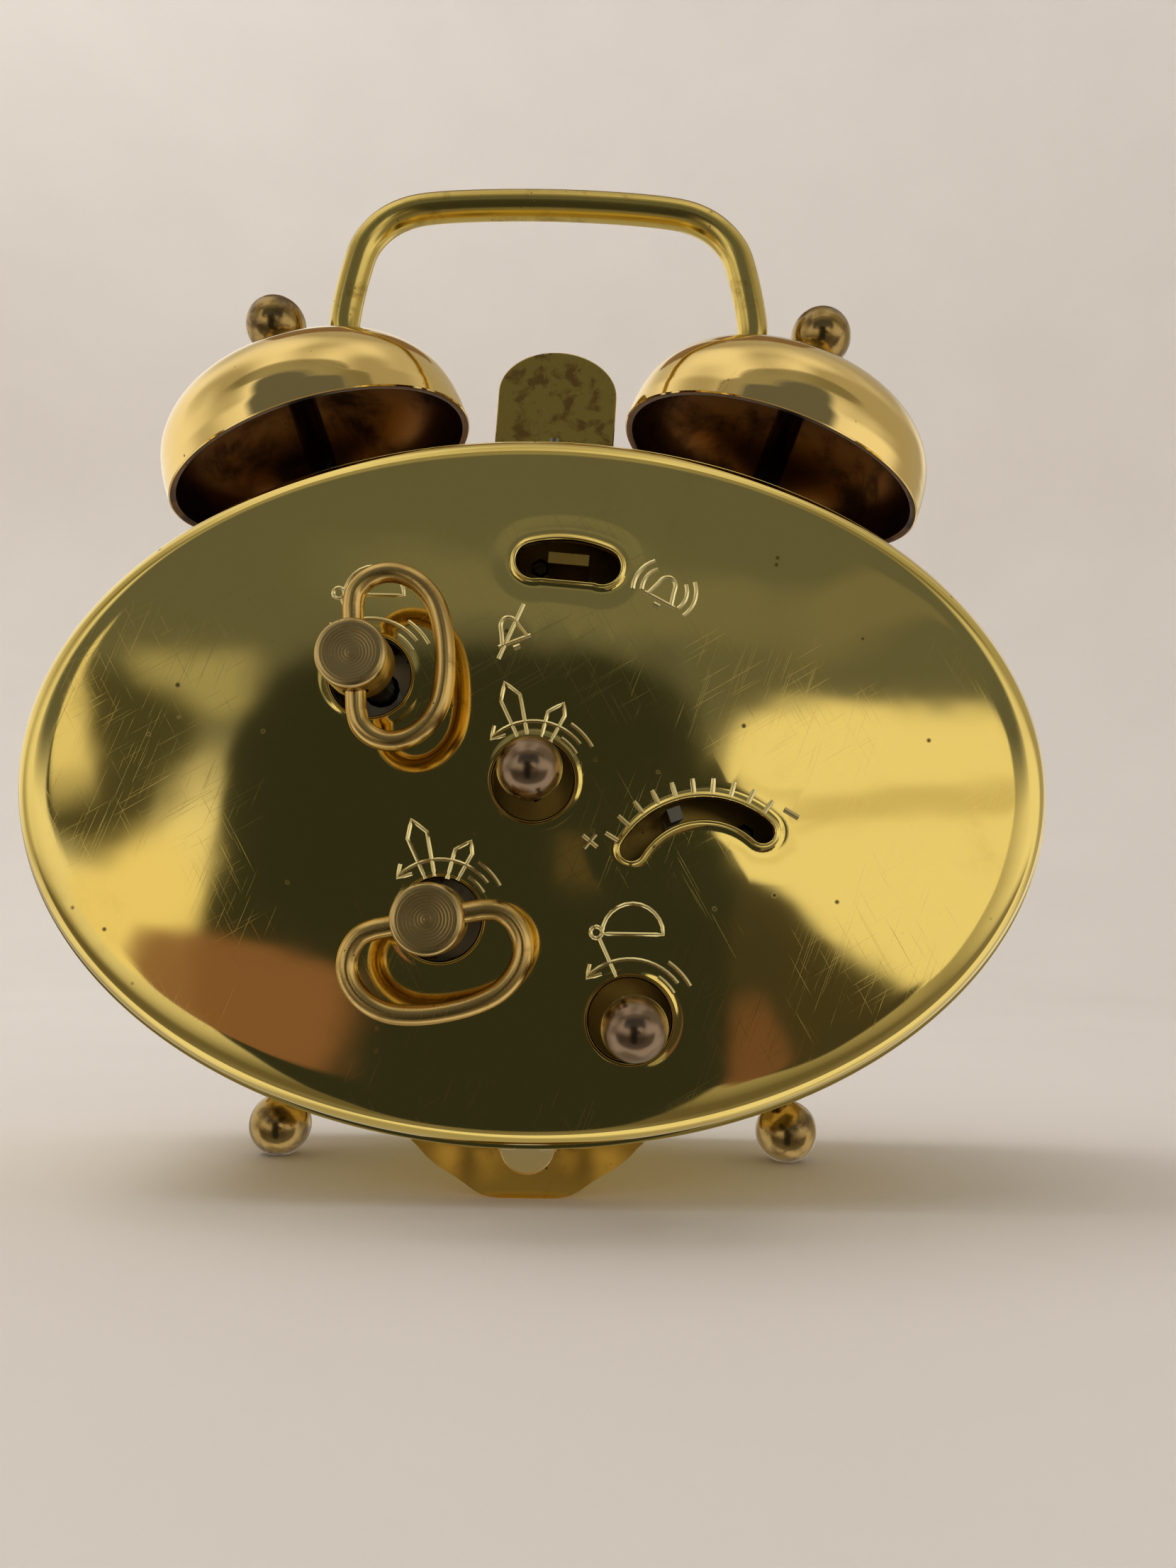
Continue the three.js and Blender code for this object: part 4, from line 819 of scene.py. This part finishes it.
def dialMarks():
    made = []
    for i in range(60):
        a = turn * i / 60
        made.append(dialMark(a, ovalReach(track["inset"], a), *track["minute" if i % 5 else "five"]))
    for i in range(48):
        made.append(dialMark(turn * i / 48, track["alarmRadius"], *track["quarter" if i % 4 else "hour"]))
    return joined(made)


newPiece("dialMarks", *dialMarks(), handPaint, slotName="black_steel", sharp=30)


def numeral(text, x, z):
    face = bpy.data.curves.new("numeral", "FONT")
    face.body, face.size = text, track["numeral"] * mm
    face.align_x, face.align_y = "CENTER", "CENTER"
    face.extrude = 0.02 * mm
    letter = bpy.data.objects.new("numeral", face)
    scene.collection.objects.link(letter)
    bpy.context.view_layer.update()
    mesh = bpy.data.meshes.new_from_object(letter.evaluated_get(bpy.context.evaluated_depsgraph_get()))
    points = [(v.co.x / mm + x, dialFace - 0.02 - v.co.z / mm, v.co.y / mm + z + caseMiddle)
              for v in mesh.vertices]
    faces = [tuple(p.vertices) for p in mesh.polygons]
    bpy.data.objects.remove(letter)
    return points, faces


numerals = []
for hour in range(1, 13):
    a = turn * hour / 12
    reach = ovalReach(track["numeralInset"], a)
    numerals.append(numeral(str(hour), reach * math.sin(a), reach * math.cos(a)))
# the dial is read from the front, where +X is to the right
newPiece("dialNumerals", *joined(numerals), handPaint, slotName="black_steel", sharp=30)
print("case, crystal and dial made")

# bells, their posts and finials
bell = {"lean": 20.2, "sheet": 0.75, "finialRadius": 3.15, "neck": 1.9}
leanSin, leanCos = math.sin(math.radians(bell["lean"])), math.cos(math.radians(bell["lean"]))
bellLow, bellHigh = corners("bell_left")
bellRadius = (bellHigh.y - bellLow.y) / 2
rimX, rimZ = bellLow.x + bellRadius * leanCos, bellLow.z + bellRadius * leanSin
finialHigh = corners("finial_left")[1]
finialBall = (finialHigh.x - bell["finialRadius"], finialHigh.z - bell["finialRadius"])
finialStand = math.hypot(finialBall[0] - rimX, finialBall[1] - rimZ)
bellHeight = finialStand - 5


def bellProfile():
    outside = [(1.0, 0.0), (1.003, 0.06), (0.998, 0.16), (0.985, 0.3), (0.955, 0.44), (0.9, 0.57),
               (0.82, 0.69), (0.71, 0.795),
               (0.58, 0.88), (0.44, 0.94), (0.3, 0.975), (0.16, 0.993), (0.085, 0.998)]
    line = smooth([Vector((r * bellRadius, h * bellHeight, 0)) for r, h in outside], 5)
    outer = [(min(p.x, bellRadius), p.y) for p in line]
    inner = []
    for i, (r, h) in enumerate(outer):
        r1, h1 = outer[max(i - 1, 0)]
        r2, h2 = outer[min(i + 1, len(outer) - 1)]
        length = math.hypot(r2 - r1, h2 - h1)
        inner.append((r - (h2 - h1) / length * bell["sheet"], h + (r2 - r1) / length * bell["sheet"]))
    edge = [(outer[0][0] - 0.12, 0), (inner[0][0] + 0.15, 0)]
    outer[0] = (outer[0][0], 0.12)
    inner[0] = (inner[0][0], 0.12)
    return outer, edge, inner


outer, edge, inner = bellProfile()
for name, side in (("left", 1), ("right", -1)):
    axis = (side * leanSin, 0, leanCos)
    place = placed((side * rimX, bellPlane, rimZ), axis)
    shell = newPiece("bell_shell_" + name, *lathe(list(reversed(outer)) + edge[:1], 144), buffedBell,
                     slotName="bell_brass",
                     nodes=["bell_" + name], place=place, sharp=60)
    # the inside of each bell is drawn in dark brown painted shade
    newPiece("bell_inside_" + name, *lathe(edge + inner, 144), bellInsidePaintedShade, slotName="bell_brass",
             place=place, sharp=60)
    post = [(0, -12), (0.9, -12), (0.9, -5.2), (2.15, -5.2), (2.3, -5.05), (2.3, -4.25), (2.15, -4.1),
            (1.45, -3.9), (1.45, bellHeight - 1.2),
            (1.3, bellHeight - 0.85), (0.9, bellHeight - 0.8), (0.9, finialStand - 1.5),
            (0, finialStand - 1.5)]
    newPiece("bellPost_" + name, *lathe(post, 48), darkSteel, slotName="dark_steel",
             nodes=["bell_post_" + name], place=place)
    first = math.asin(-math.sqrt(1 - (bell["neck"] / bell["finialRadius"]) ** 2))
    ball = ballLine(bell["finialRadius"], first, math.pi / 2, 28, finialStand)
    neck = [(0, bellHeight + 1.3), (1.95, bellHeight + 1.3), (2.1, bellHeight + 1.42),
            (2.1, bellHeight + 1.85), (1.95, bellHeight + 2.0),
            (1.62, bellHeight + 2.15), (1.6, bellHeight + 2.35)]
    newPiece("finialBall_" + name, *lathe(neck + ball, 64), turnedBall, nodes=["finial_" + name],
             place=place)
print("bells made")

# handle: one bent rod, flattened where it is screwed under the finials
handle = {"wire": 1.6, "eyelet": (2.9, 1.0)}
handleHigh = corners("handle")[1]
handleTop = handleHigh.z - handle["wire"]
eyeletBase = bellHeight + 0.3
alongX, alongZ = polar(rimX, rimZ, eyeletBase + 0.5, bell["lean"])
legX, legZ = alongX - 6.6 * leanCos, alongZ + 6.6 * leanSin
half = [(legX - 0.6 * leanSin, legZ - 0.6 * leanCos), polar(legX, legZ, 2.2, 10),
        (legX - 0.6, handleTop - 8), (legX - 1.9, handleTop - 4.4), (legX - 4.9, handleTop - 1.7),
        (legX - 9.8, handleTop - 0.5)]
path = half + [(0, handleTop)] + [(-x, z) for x, z in reversed(half)]
line = smooth([Vector((x, bellPlane, z)) for x, z in path], 14)
bow = wire(line, handle["wire"], (0, 1, 0), sides=32)
newPiece("handleRod", *bow, handledRod, slotName="worn_brass", nodes=["handle"], sharp=50)
for name, side in (("left", 1), ("right", -1)):
    place = placed((side * rimX, bellPlane, rimZ), (side * leanSin, 0, leanCos))
    radius, thickness = handle["eyelet"]
    disc = lathe([(0, eyeletBase), (radius - 0.12, eyeletBase), (radius, eyeletBase + 0.12),
                  (radius, eyeletBase + thickness - 0.12),
                  (radius - 0.12, eyeletBase + thickness), (0, eyeletBase + thickness)], 48)
    newPiece("handleEyelet_" + name, *disc, handledRod, slotName="worn_brass", place=place)
    tongue = [(0.4, 2.2), (2.6, 2.3), (4.6, 2.0), (6.2, 1.6), (6.9, 1.45)]
    outline = tongue + [(x, -w) for x, w in reversed(tongue)]
    points = [(side * (alongX - x * leanCos + leanSin * up), bellPlane + w,
               alongZ + x * leanSin + leanCos * up)
              for up in (-0.5, 0.5) for x, w in outline]
    tonguePiece = newPiece("handleTongue_" + name, points, slabFaces(len(outline)), handledRod,
                           slotName="worn_brass")
    soften(tonguePiece, 0.2)
print("handle made")

# hammer head on its wire
hammer = {
    "half": 6.2,
    "lean": -2.8,
    "thick": 1.2,
    "wire": 0.8,
    "pivot": 21.0,          # heights over the middle of the case
    "foot": 36.0,
    "top": 47.5,
    "cornerCut": 1.2,
}
hammerLow, hammerHigh = corners("hammer")
pivot = Vector((0, 0, caseMiddle + hammer["pivot"]))
headTop, headFoot = caseMiddle + hammer["top"], caseMiddle + hammer["foot"]
headHalf, cornerCut = hammer["half"], hammer["cornerCut"]
shoulderZ = headTop - headHalf * 0.75
outline = [(-headHalf + cornerCut, headFoot), (headHalf - cornerCut, headFoot),
           (headHalf, headFoot + cornerCut)]
outline += ovalLine(headHalf, headTop - shoulderZ, 60, 0, shoulderZ)[:31]
outline += [(-headHalf, headFoot + cornerCut)]
leaned = Matrix.Rotation(math.radians(hammer["lean"]), 4, "Y")
swing = Matrix.Translation(pivot * mm) @ leaned @ Matrix.Translation(-pivot * mm)
headBack = hammerHigh.y - (hammerHigh.y - hammerLow.y - hammer["thick"]) / 2
head = newPiece("hammerHead", *plate(outline, headBack, headBack - hammer["thick"]), mottledFlat,
                body="striker", slotName="worn_brass",
                nodes=["hammer"], place=swing)
soften(head, 0.14)
stem = wire([Vector((0, bellPlane, z)) for z in (pivot.z + 1, pivot.z + 8, headFoot + 2)], hammer["wire"],
            (0, 1, 0), sides=20)
newPiece("hammerWire", *stem, oiledSteel, body="striker", slotName="plated_steel", place=swing)
eye = lathe([(0.62, -1.2), (1.8, -1.2), (1.8, 1.2), (0.62, 1.2)], 32, shut=True)
newPiece("hammerEye", *eye, oiledSteel, body="striker", slotName="plated_steel",
         place=placed((pivot.x, bellPlane, pivot.z), (0, 1, 0)))

# feet: two turned balls and the stamped rear foot
foot = {
    "radius": 3.1,
    "neck": 1.3,
    "lean": 22,
    "sink": 0.2,            # a flat where the ball stands
    "neckEnd": 7.2,
}
footSin, footCos = math.sin(math.radians(foot["lean"])), math.cos(math.radians(foot["lean"]))
for name, side in (("left", 1), ("right", -1)):
    low, high = corners("ball_foot_" + name)
    outerX = high.x if side > 0 else low.x
    at = (outerX - side * foot["radius"], (low.y + high.y) / 2, foot["radius"] - foot["sink"])
    # the neck climbs away from the ball, towards the middle of the case
    neckEnd = foot["neckEnd"]
    first = math.asin(math.sqrt(1 - (foot["neck"] / foot["radius"]) ** 2))
    ball = ballLine(foot["radius"], -math.pi / 2, first, 28)
    rest = [(1.28, ball[-1][1] + 0.35), (1.3, ball[-1][1] + 0.9), (1.55, ball[-1][1] + 1.15),
            (1.8, ball[-1][1] + 1.35),
            (1.8, neckEnd), (0, neckEnd)]
    piece = newPiece("ballFoot_" + name, *lathe(ball + rest, 64), turnedBall, nodes=["ball_foot_" + name],
                     place=placed(at, (-side * footSin, 0, footCos)))
    ground = block((at[0] - 6, at[0] + 6), (at[1] - 6, at[1] + 6), (-4, 0))
    cutAway(piece, [plainSolid(*ground)])

rearLow, rearHigh = corners("rear_foot")
rearHalf = [(10.3, 5.25), (9.6, 4.1), (8.8, 3.25), (7.8, 2.5), (6.8, 1.95), (5.9, 1.45), (5.2, 0.98),
            (4.6, 0.58), (3.9, 0.24), (3.0, 0.05), (2.2, 0.0)]


def drumBottom(x):
    reach = halfWidth + case["proud"]
    return caseMiddle - (halfHeight + case["proud"]) * math.sqrt(1 - (x / reach) ** 2) - 0.3


archRadius = 2.4
archTop = caseMiddle - halfHeight - case["proud"]
arch = [(archRadius * math.cos(math.radians(a)), archTop - archRadius * math.sin(math.radians(a)))
        for a in range(0, 181, 12)]
earX = rearHalf[0][0]
outline = [(earX, drumBottom(earX))] + rearHalf[1:] + [(-x, z) for x, z in reversed(rearHalf[1:])]
outline += [(-x, drumBottom(x)) for x in (earX, 8, 5, 2.9)]
outline += [(x, z) for x, z in reversed(arch) if z < drumBottom(archRadius)]
outline += [(x, drumBottom(x)) for x in (2.9, 5, 8)]
rearBack = rearHigh.y
rearSheet = 0.75


def footSwell(x, z):
    # the foot is dished, and its lip flares out
    lip = max(0.0, 1 - z / 0.5) ** 2 * 0.25
    ear = math.exp(-((abs(x) - 5.2) / 2.2) ** 2) * 0.35 * max(0.0, min(1.0, z / 3))
    return lip + ear + max(0.0, 1 - z / 4.5) ** 2 * 0.7


def bentSheet(shape, depth, swell, grid=0.5, clear=0.22):
    # a sheet cut to an outline of (x, z), with its face bent by swell
    flat = [Vector(p) for p in shape]
    xs, zs = [p[0] for p in shape], [p[1] for p in shape]
    for i in range(int((max(xs) - min(xs)) / grid)):
        for j in range(int((max(zs) - min(zs)) / grid)):
            x, z = min(xs) + (i + 0.4) * grid, min(zs) + (j + 0.4) * grid
            if inside(x, z, shape) and all(math.hypot(x - px, z - pz) > clear for px, pz in shape):
                flat.append(Vector((x, z)))
    edges = [(i, (i + 1) % len(shape)) for i in range(len(shape))]
    made, _, triangles, _, _, _ = delaunay_2d_cdt(flat, edges, [], 0, 1e-6)
    faces = [tuple(f) for f in triangles
             if inside(sum(made[k].x for k in f) / 3, sum(made[k].y for k in f) / 3, shape)]
    points = [(p.x, depth + swell(p.x, p.y) - back, p.y) for back in (0, rearSheet) for p in made]
    count = len(made)
    sides = [(a, b) for f in faces for a, b in zip(f, f[1:] + f[:1])]
    rim = [(a, b) for a, b in sides if (b, a) not in set(sides)]
    below = [tuple(k + count for k in reversed(f)) for f in faces]
    return points, faces + below + [(b, a, a + count, b + count) for a, b in rim]


newPiece("rearFoot", *bentSheet(outline, rearBack, footSwell), amberFoot, nodes=["rear_foot"])
lug = {"x": 3.3, "half": 0.7, "low": 0.8, "high": 1.9}
lugLow, lugHigh = drumBottom(0) - lug["low"], drumBottom(0) + lug["high"]
lugs = [block((x - lug["half"], x + lug["half"]), (rearBack - rearSheet, rearBack - 0.05), (lugLow, lugHigh))
        for x in (lug["x"], -lug["x"])]
newPiece("rearFootLugs", *joined(lugs), amberFoot)
print("hammer and feet made")

# knobs and keys on the back
knob = {"radius": 2.65, "neck": 1.7}
for name, node, body in (("timeKnob", "time_set_knob", "time_setting"),
                         ("alarmKnob", "alarm_set_knob", "alarm_setting")):
    low, high = corners(node)
    at = middle(node)
    stand = high.y - knob["radius"]
    first = -math.acos(knob["neck"] / knob["radius"])
    ball = ballLine(knob["radius"], first, math.pi / 2, 26)
    base = low.y - stand
    profile = [(0, base), (1.55, base), (1.7, base + 0.15), (1.7, ball[0][1] - 0.25),
               (1.62, ball[0][1] - 0.1)] + ball
    newPiece(name, *lathe(profile, 72), plumKnob, body=body, slotName="plated_steel", nodes=[node],
             place=placed((at.x, stand, at.z), (0, 1, 0)))

key = {
    "radius": 2.9,
    "wire": 0.85,
    "reach": 7.35,
    "stand": 7.0,           # of the bail's pivot over the cover
    "bore": 1.05,
}
for name, body, bailBody, turned in (("time", "time_key", "time_bail", 11),
                                     ("alarm", "alarm_key", "alarm_bail", 94)):
    low, high = corners(name + "_key_stud")
    at = middle(name + "_key_stud")
    length = high.y - low.y
    radius = key["radius"]
    profile = [(0, 0), (radius - 0.62, 0), (radius - 0.5, 0.12), (radius - 0.5, 1.2), (radius - 0.12, 1.55),
               (radius, 1.75),
               (radius, length - 0.42), (radius - 0.08, length - 0.2), (radius - 0.26, length - 0.05),
               (radius - 0.5, length),
               (2.0, length - 0.02), (1.4, length - 0.05), (0.8, length - 0.075), (0.3, length - 0.05),
               (0, length - 0.03)]
    place = placed((at.x, low.y, at.z), (0, 1, 0))
    stud = newPiece(name + "KeyHead", *lathe(profile, 80), turnedHead, body=body, slotName="movement_brass",
                    nodes=[name + "_key_stud"], place=place)
    wireY = coverBack + key["stand"]
    ca, sa = math.cos(math.radians(turned)), math.sin(math.radians(turned))

    def swung(x, z):
        return Vector((at.x + x * ca + z * sa, wireY, at.z - x * sa + z * ca))

    bore = lathe([(0, -9), (key["bore"], -9), (key["bore"], 9), (0, 9)], 28)
    cutAway(stud, [plainSolid(*bore, place=placed((at.x, wireY, at.z), (ca, 0, -sa)))])
    side = [(4.2, 0), (5.5, -0.3), (6.5, -1.25), (6.98, -2.65), (6.75, -4.15), (5.85, -5.55), (4.3, -6.65),
            (2.25, -7.2)]
    bowPoints = [(-x, z) for x, z in side] + [(0, -key["reach"])] + side[::-1]
    loop = smooth([swung(x, z) for x, z in bowPoints], 7)
    loop += [swung(x, 0) for x in (2.8, 1.4, 0, -1.4, -2.8)]
    newPiece(name + "KeyBail", *wire(loop, key["wire"], (0, 1, 0), sides=24, closed=True), bailWire,
             body=bailBody,
             slotName="worn_brass", nodes=[name + "_key_bail"], sharp=60)
print("knobs and keys made")

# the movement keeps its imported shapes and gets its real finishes
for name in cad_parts:
    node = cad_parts[name]
    if node.hide_render or name in ("dial", "crystal"):
        continue
    if "hand" in name and name != "handle":
        finish = handPaint
    elif "mainspring" in name or name.startswith("bell_post"):
        finish = darkSteel
    elif "arbor" in name or "nut" in name or "click" in name or "ratchet" in name or name in (
            "escape_wheel", "alarm_escape_wheel", "pallet_lever", "hairspring", "regulator"):
        finish = oiledSteel
    else:
        finish = movementSheet
    node.data.materials.clear()
    node.data.materials.append(finish)
print("movement finished")

# stage: a pale table that sweeps up all round, soft lights and the room that the brass mirrors
stage = {"flat": 320, "wall": 620, "height": 750}


def sweepMesh(sides=96):
    bend = stage["wall"] - stage["flat"]
    curve = [(stage["flat"] + bend * math.sin(a), bend * (1 - math.cos(a)))
             for a in [math.pi / 2 * i / 16 for i in range(1, 17)]]
    return lathe([(0, 0), (stage["flat"], 0)] + curve + [(stage["wall"], stage["height"])], sides)


points, faces = sweepMesh()
mesh = bpy.data.meshes.new("stageSweep")
mesh.from_pydata([Vector(p) * mm for p in points], [], faces)
mesh.shade_smooth()
sweep = bpy.data.objects.new("stageSweep", mesh)
scene.collection.objects.link(sweep)
# Matte painted board of the table: nearly white, warm, with no shine.
matte = painted("matte_table_board", ("#dbd5cf", "#e3ded8"), 60, 0.8, Detail=4.0)[0]
mesh.materials.append(matte)
sweep.visible_glossy = False


def areaLight(name, at, target, size, power, tint="#fffdfa"):
    lamp = bpy.data.lights.new(name, "AREA")
    lamp.shape, lamp.size, lamp.size_y = "RECTANGLE", size[0], size[1]
    lamp.energy = power
    lamp.color = colour(tint)[:3]
    made = bpy.data.objects.new(name, lamp)
    made.location = Vector(at)
    made.rotation_euler = (Vector(target) - Vector(at)).to_track_quat("-Z", "Y").to_euler()
    made.visible_camera = False
    made.visible_glossy = False
    scene.collection.objects.link(made)


areaLight("skyPanel", (0.3, 0.05, 0.9), (0.05, -0.05, 0.03), (0.7, 0.7), 1.9)
areaLight("sidePanel", (0.42, -0.1, 0.8), (0.1, -0.3, 0.1), (0.4, 0.4), 2.1)
areaLight("frontPanel", (-0.2, -0.2, 0.95), (0, -0.3, 0.1), (0.5, 0.5), 0.6)

room = bpy.data.worlds.new("room")
room.use_nodes = True
scene.world = room
tree = room.node_tree
tree.nodes.clear()
direction = addNode(tree, "TexCoord").outputs["Generated"]
compass = addNode(tree, "SeparateXYZ", {0: direction})
haze = addNode(tree, "TexNoise", {"Vector": direction, "Scale": 1.1, "Detail": 1.0, "Roughness": 0.4})
glow = addNode(tree, "MapRange", {"Value": haze.outputs[0], "From Min": 0.4, "From Max": 0.62},
               interpolation_type="SMOOTHSTEP").outputs[0]
view = addNode(tree, "Mix", {0: glow, 6: colour("#b0a998"), 7: colour("#fffaf0")},
               data_type="RGBA").outputs[2]

# the room behind the viewer: (u, v), half sizes, turn, softness, strength, colour
roomPatches = [
    ((0.0, -1.35), (3.0, 1.05), 0, 0.4, 0.85, "#5e5648"),
    ((0.05, 0.52), (0.8, 0.4), 0, 0.3, 1.0, "#696b6c"),
    ((-0.3, 0.3), (0.12, 0.03), -25, 0.8, 0.5, "#8c8a80"),
    ((0.0, 0.28), (0.2, 0.03), 5, 0.9, 0.5, "#8a8c86"),
    ((0.33, 0.2), (0.05, 0.03), 0, 0.9, 0.8, "#b8b6a6"),
    ((-0.27, 0.03), (0.15, 0.16), 0, 0.14, 1.0, "#fff8e4"),
    ((-0.30, 0.105), (0.14, 0.012), -6, 0.9, 0.45, "#a89a70"),
    ((-0.18, -0.094), (0.165, 0.09), 35, 0.16, 1.0, "#46423a"),
    ((-0.16, -0.14), (0.03, 0.08), -20, 0.4, 0.9, "#7a5a50"),
    ((0.42, 0.13), (0.08, 0.08), 20, 0.4, 1.0, "#4a4a42"),
    ((0.4, -0.02), (0.1, 0.06), -30, 0.5, 1.0, "#fff3d4"),
    ((0.46, 0.2), (0.03, 0.1), -15, 0.6, 0.9, "#fff6de"),
    ((0.091, -0.4), (0.225, 0.634), 0, 0.05, 1.0, "#343733"),
    ((0.285, -0.075), (0.095, 0.05), 10, 0.3, 0.95, "#8f6a5c"),
    ((0.0, 0.05), (0.02, 0.02), 0, 0.9, 0.35, "#7d6a50"),
]
# the room above: a dark beam and two lamp panels
ceilingPatches = [
    ((0.28, -0.72), (0.2, 0.3), 8, 0.12, 0.85, "#7a5a34"),
    ((-0.16, -0.72), (0.2, 0.3), -8, 0.12, 0.85, "#7a5a34"),
    ((0.0, 0.9), (1.5, 0.22), 0, 0.4, 0.8, "#77725c"),
]


def paintRoom(under, place, patches):
    for at, size, spin, soft, strength, tint in patches:
        local = addNode(tree, "Mapping", {"Vector": place, "Location": (*at, 0),
                                          "Rotation": (0, 0, math.radians(spin)),
                                          "Scale": (*size, 1)}, vector_type="TEXTURE").outputs[0]
        positive = addNode(tree, "VectorMath", {0: local}, operation="ABSOLUTE").outputs[0]
        sixth = addNode(tree, "VectorMath", {0: positive, 1: (6.0, 6.0, 1.0)}, operation="POWER").outputs[0]
        square = addNode(tree, "SeparateXYZ", {0: sixth})
        total = addNode(tree, "Math", {0: square.outputs[0], 1: square.outputs[1]},
                        operation="ADD").outputs[0]
        reach = addNode(tree, "Math", {0: total, 1: 1 / 6}, operation="POWER").outputs[0]
        share = addNode(tree, "MapRange",
                        {"Value": reach, "From Min": 1 + soft / 2, "From Max": 1 - soft / 2,
                         "To Max": strength},
                        interpolation_type="SMOOTHSTEP").outputs[0]
        under = addNode(tree, "Mix", {0: share, 6: under, 7: colour(tint)}, data_type="RGBA").outputs[2]
    return under


def screen(wide, tall, depth):
    # directions as places on a flat screen one unit away along the depth axis
    away = addNode(tree, "Math", {0: compass.outputs[depth], 1: 0.02}, operation="MAXIMUM").outputs[0]
    sides = [addNode(tree, "Math", {0: compass.outputs[k], 1: away}, operation="DIVIDE").outputs[0]
             for k in (wide, tall)]
    return addNode(tree, "CombineXYZ", {0: sides[0], 1: sides[1]}).outputs[0]


view = paintRoom(view, screen(0, 1, 2), ceilingPatches)
view = paintRoom(view, screen(0, 2, 1), roomPatches)

glossy = addNode(tree, "LightPath").outputs["Is Glossy Ray"]
even = addNode(tree, "Mix", {0: glossy, 6: colour("#f4f1ee"), 7: view}, data_type="RGBA").outputs[2]
power = addNode(tree, "MapRange", {"Value": glossy, "To Min": 0.38, "To Max": 1.0}).outputs[0]
sky = addNode(tree, "Background", {"Color": even, "Strength": power})
addNode(tree, "OutputWorld", {"Surface": sky.outputs[0]})

shot = {
    "lens": 27.05,
    "sensor": 36,
    "at": (-3.84, 100.91, -12.01),      # from the middle of the cover
    "yaw": -0.517,
    "pitch": 6.6,
    "roll": 0.915,
}
camera = bpy.data.cameras.new("camera")
camera.lens, camera.sensor_width = shot["lens"], shot["sensor"]
camera.clip_start, camera.clip_end = 0.004, 10
cameraObject = bpy.data.objects.new("camera", camera)
scene.collection.objects.link(cameraObject)
x, y, z = shot["at"]
aim = Matrix.Translation(Vector((x, coverBack + y, caseMiddle + z)) * mm)
for angle, axis in ((180 + shot["yaw"], "Z"), (90 + shot["pitch"], "X"), (shot["roll"], "Z")):
    aim = aim @ Matrix.Rotation(math.radians(angle), 4, axis)
cameraObject.matrix_world = aim
scene.camera = cameraObject
print("stage set")
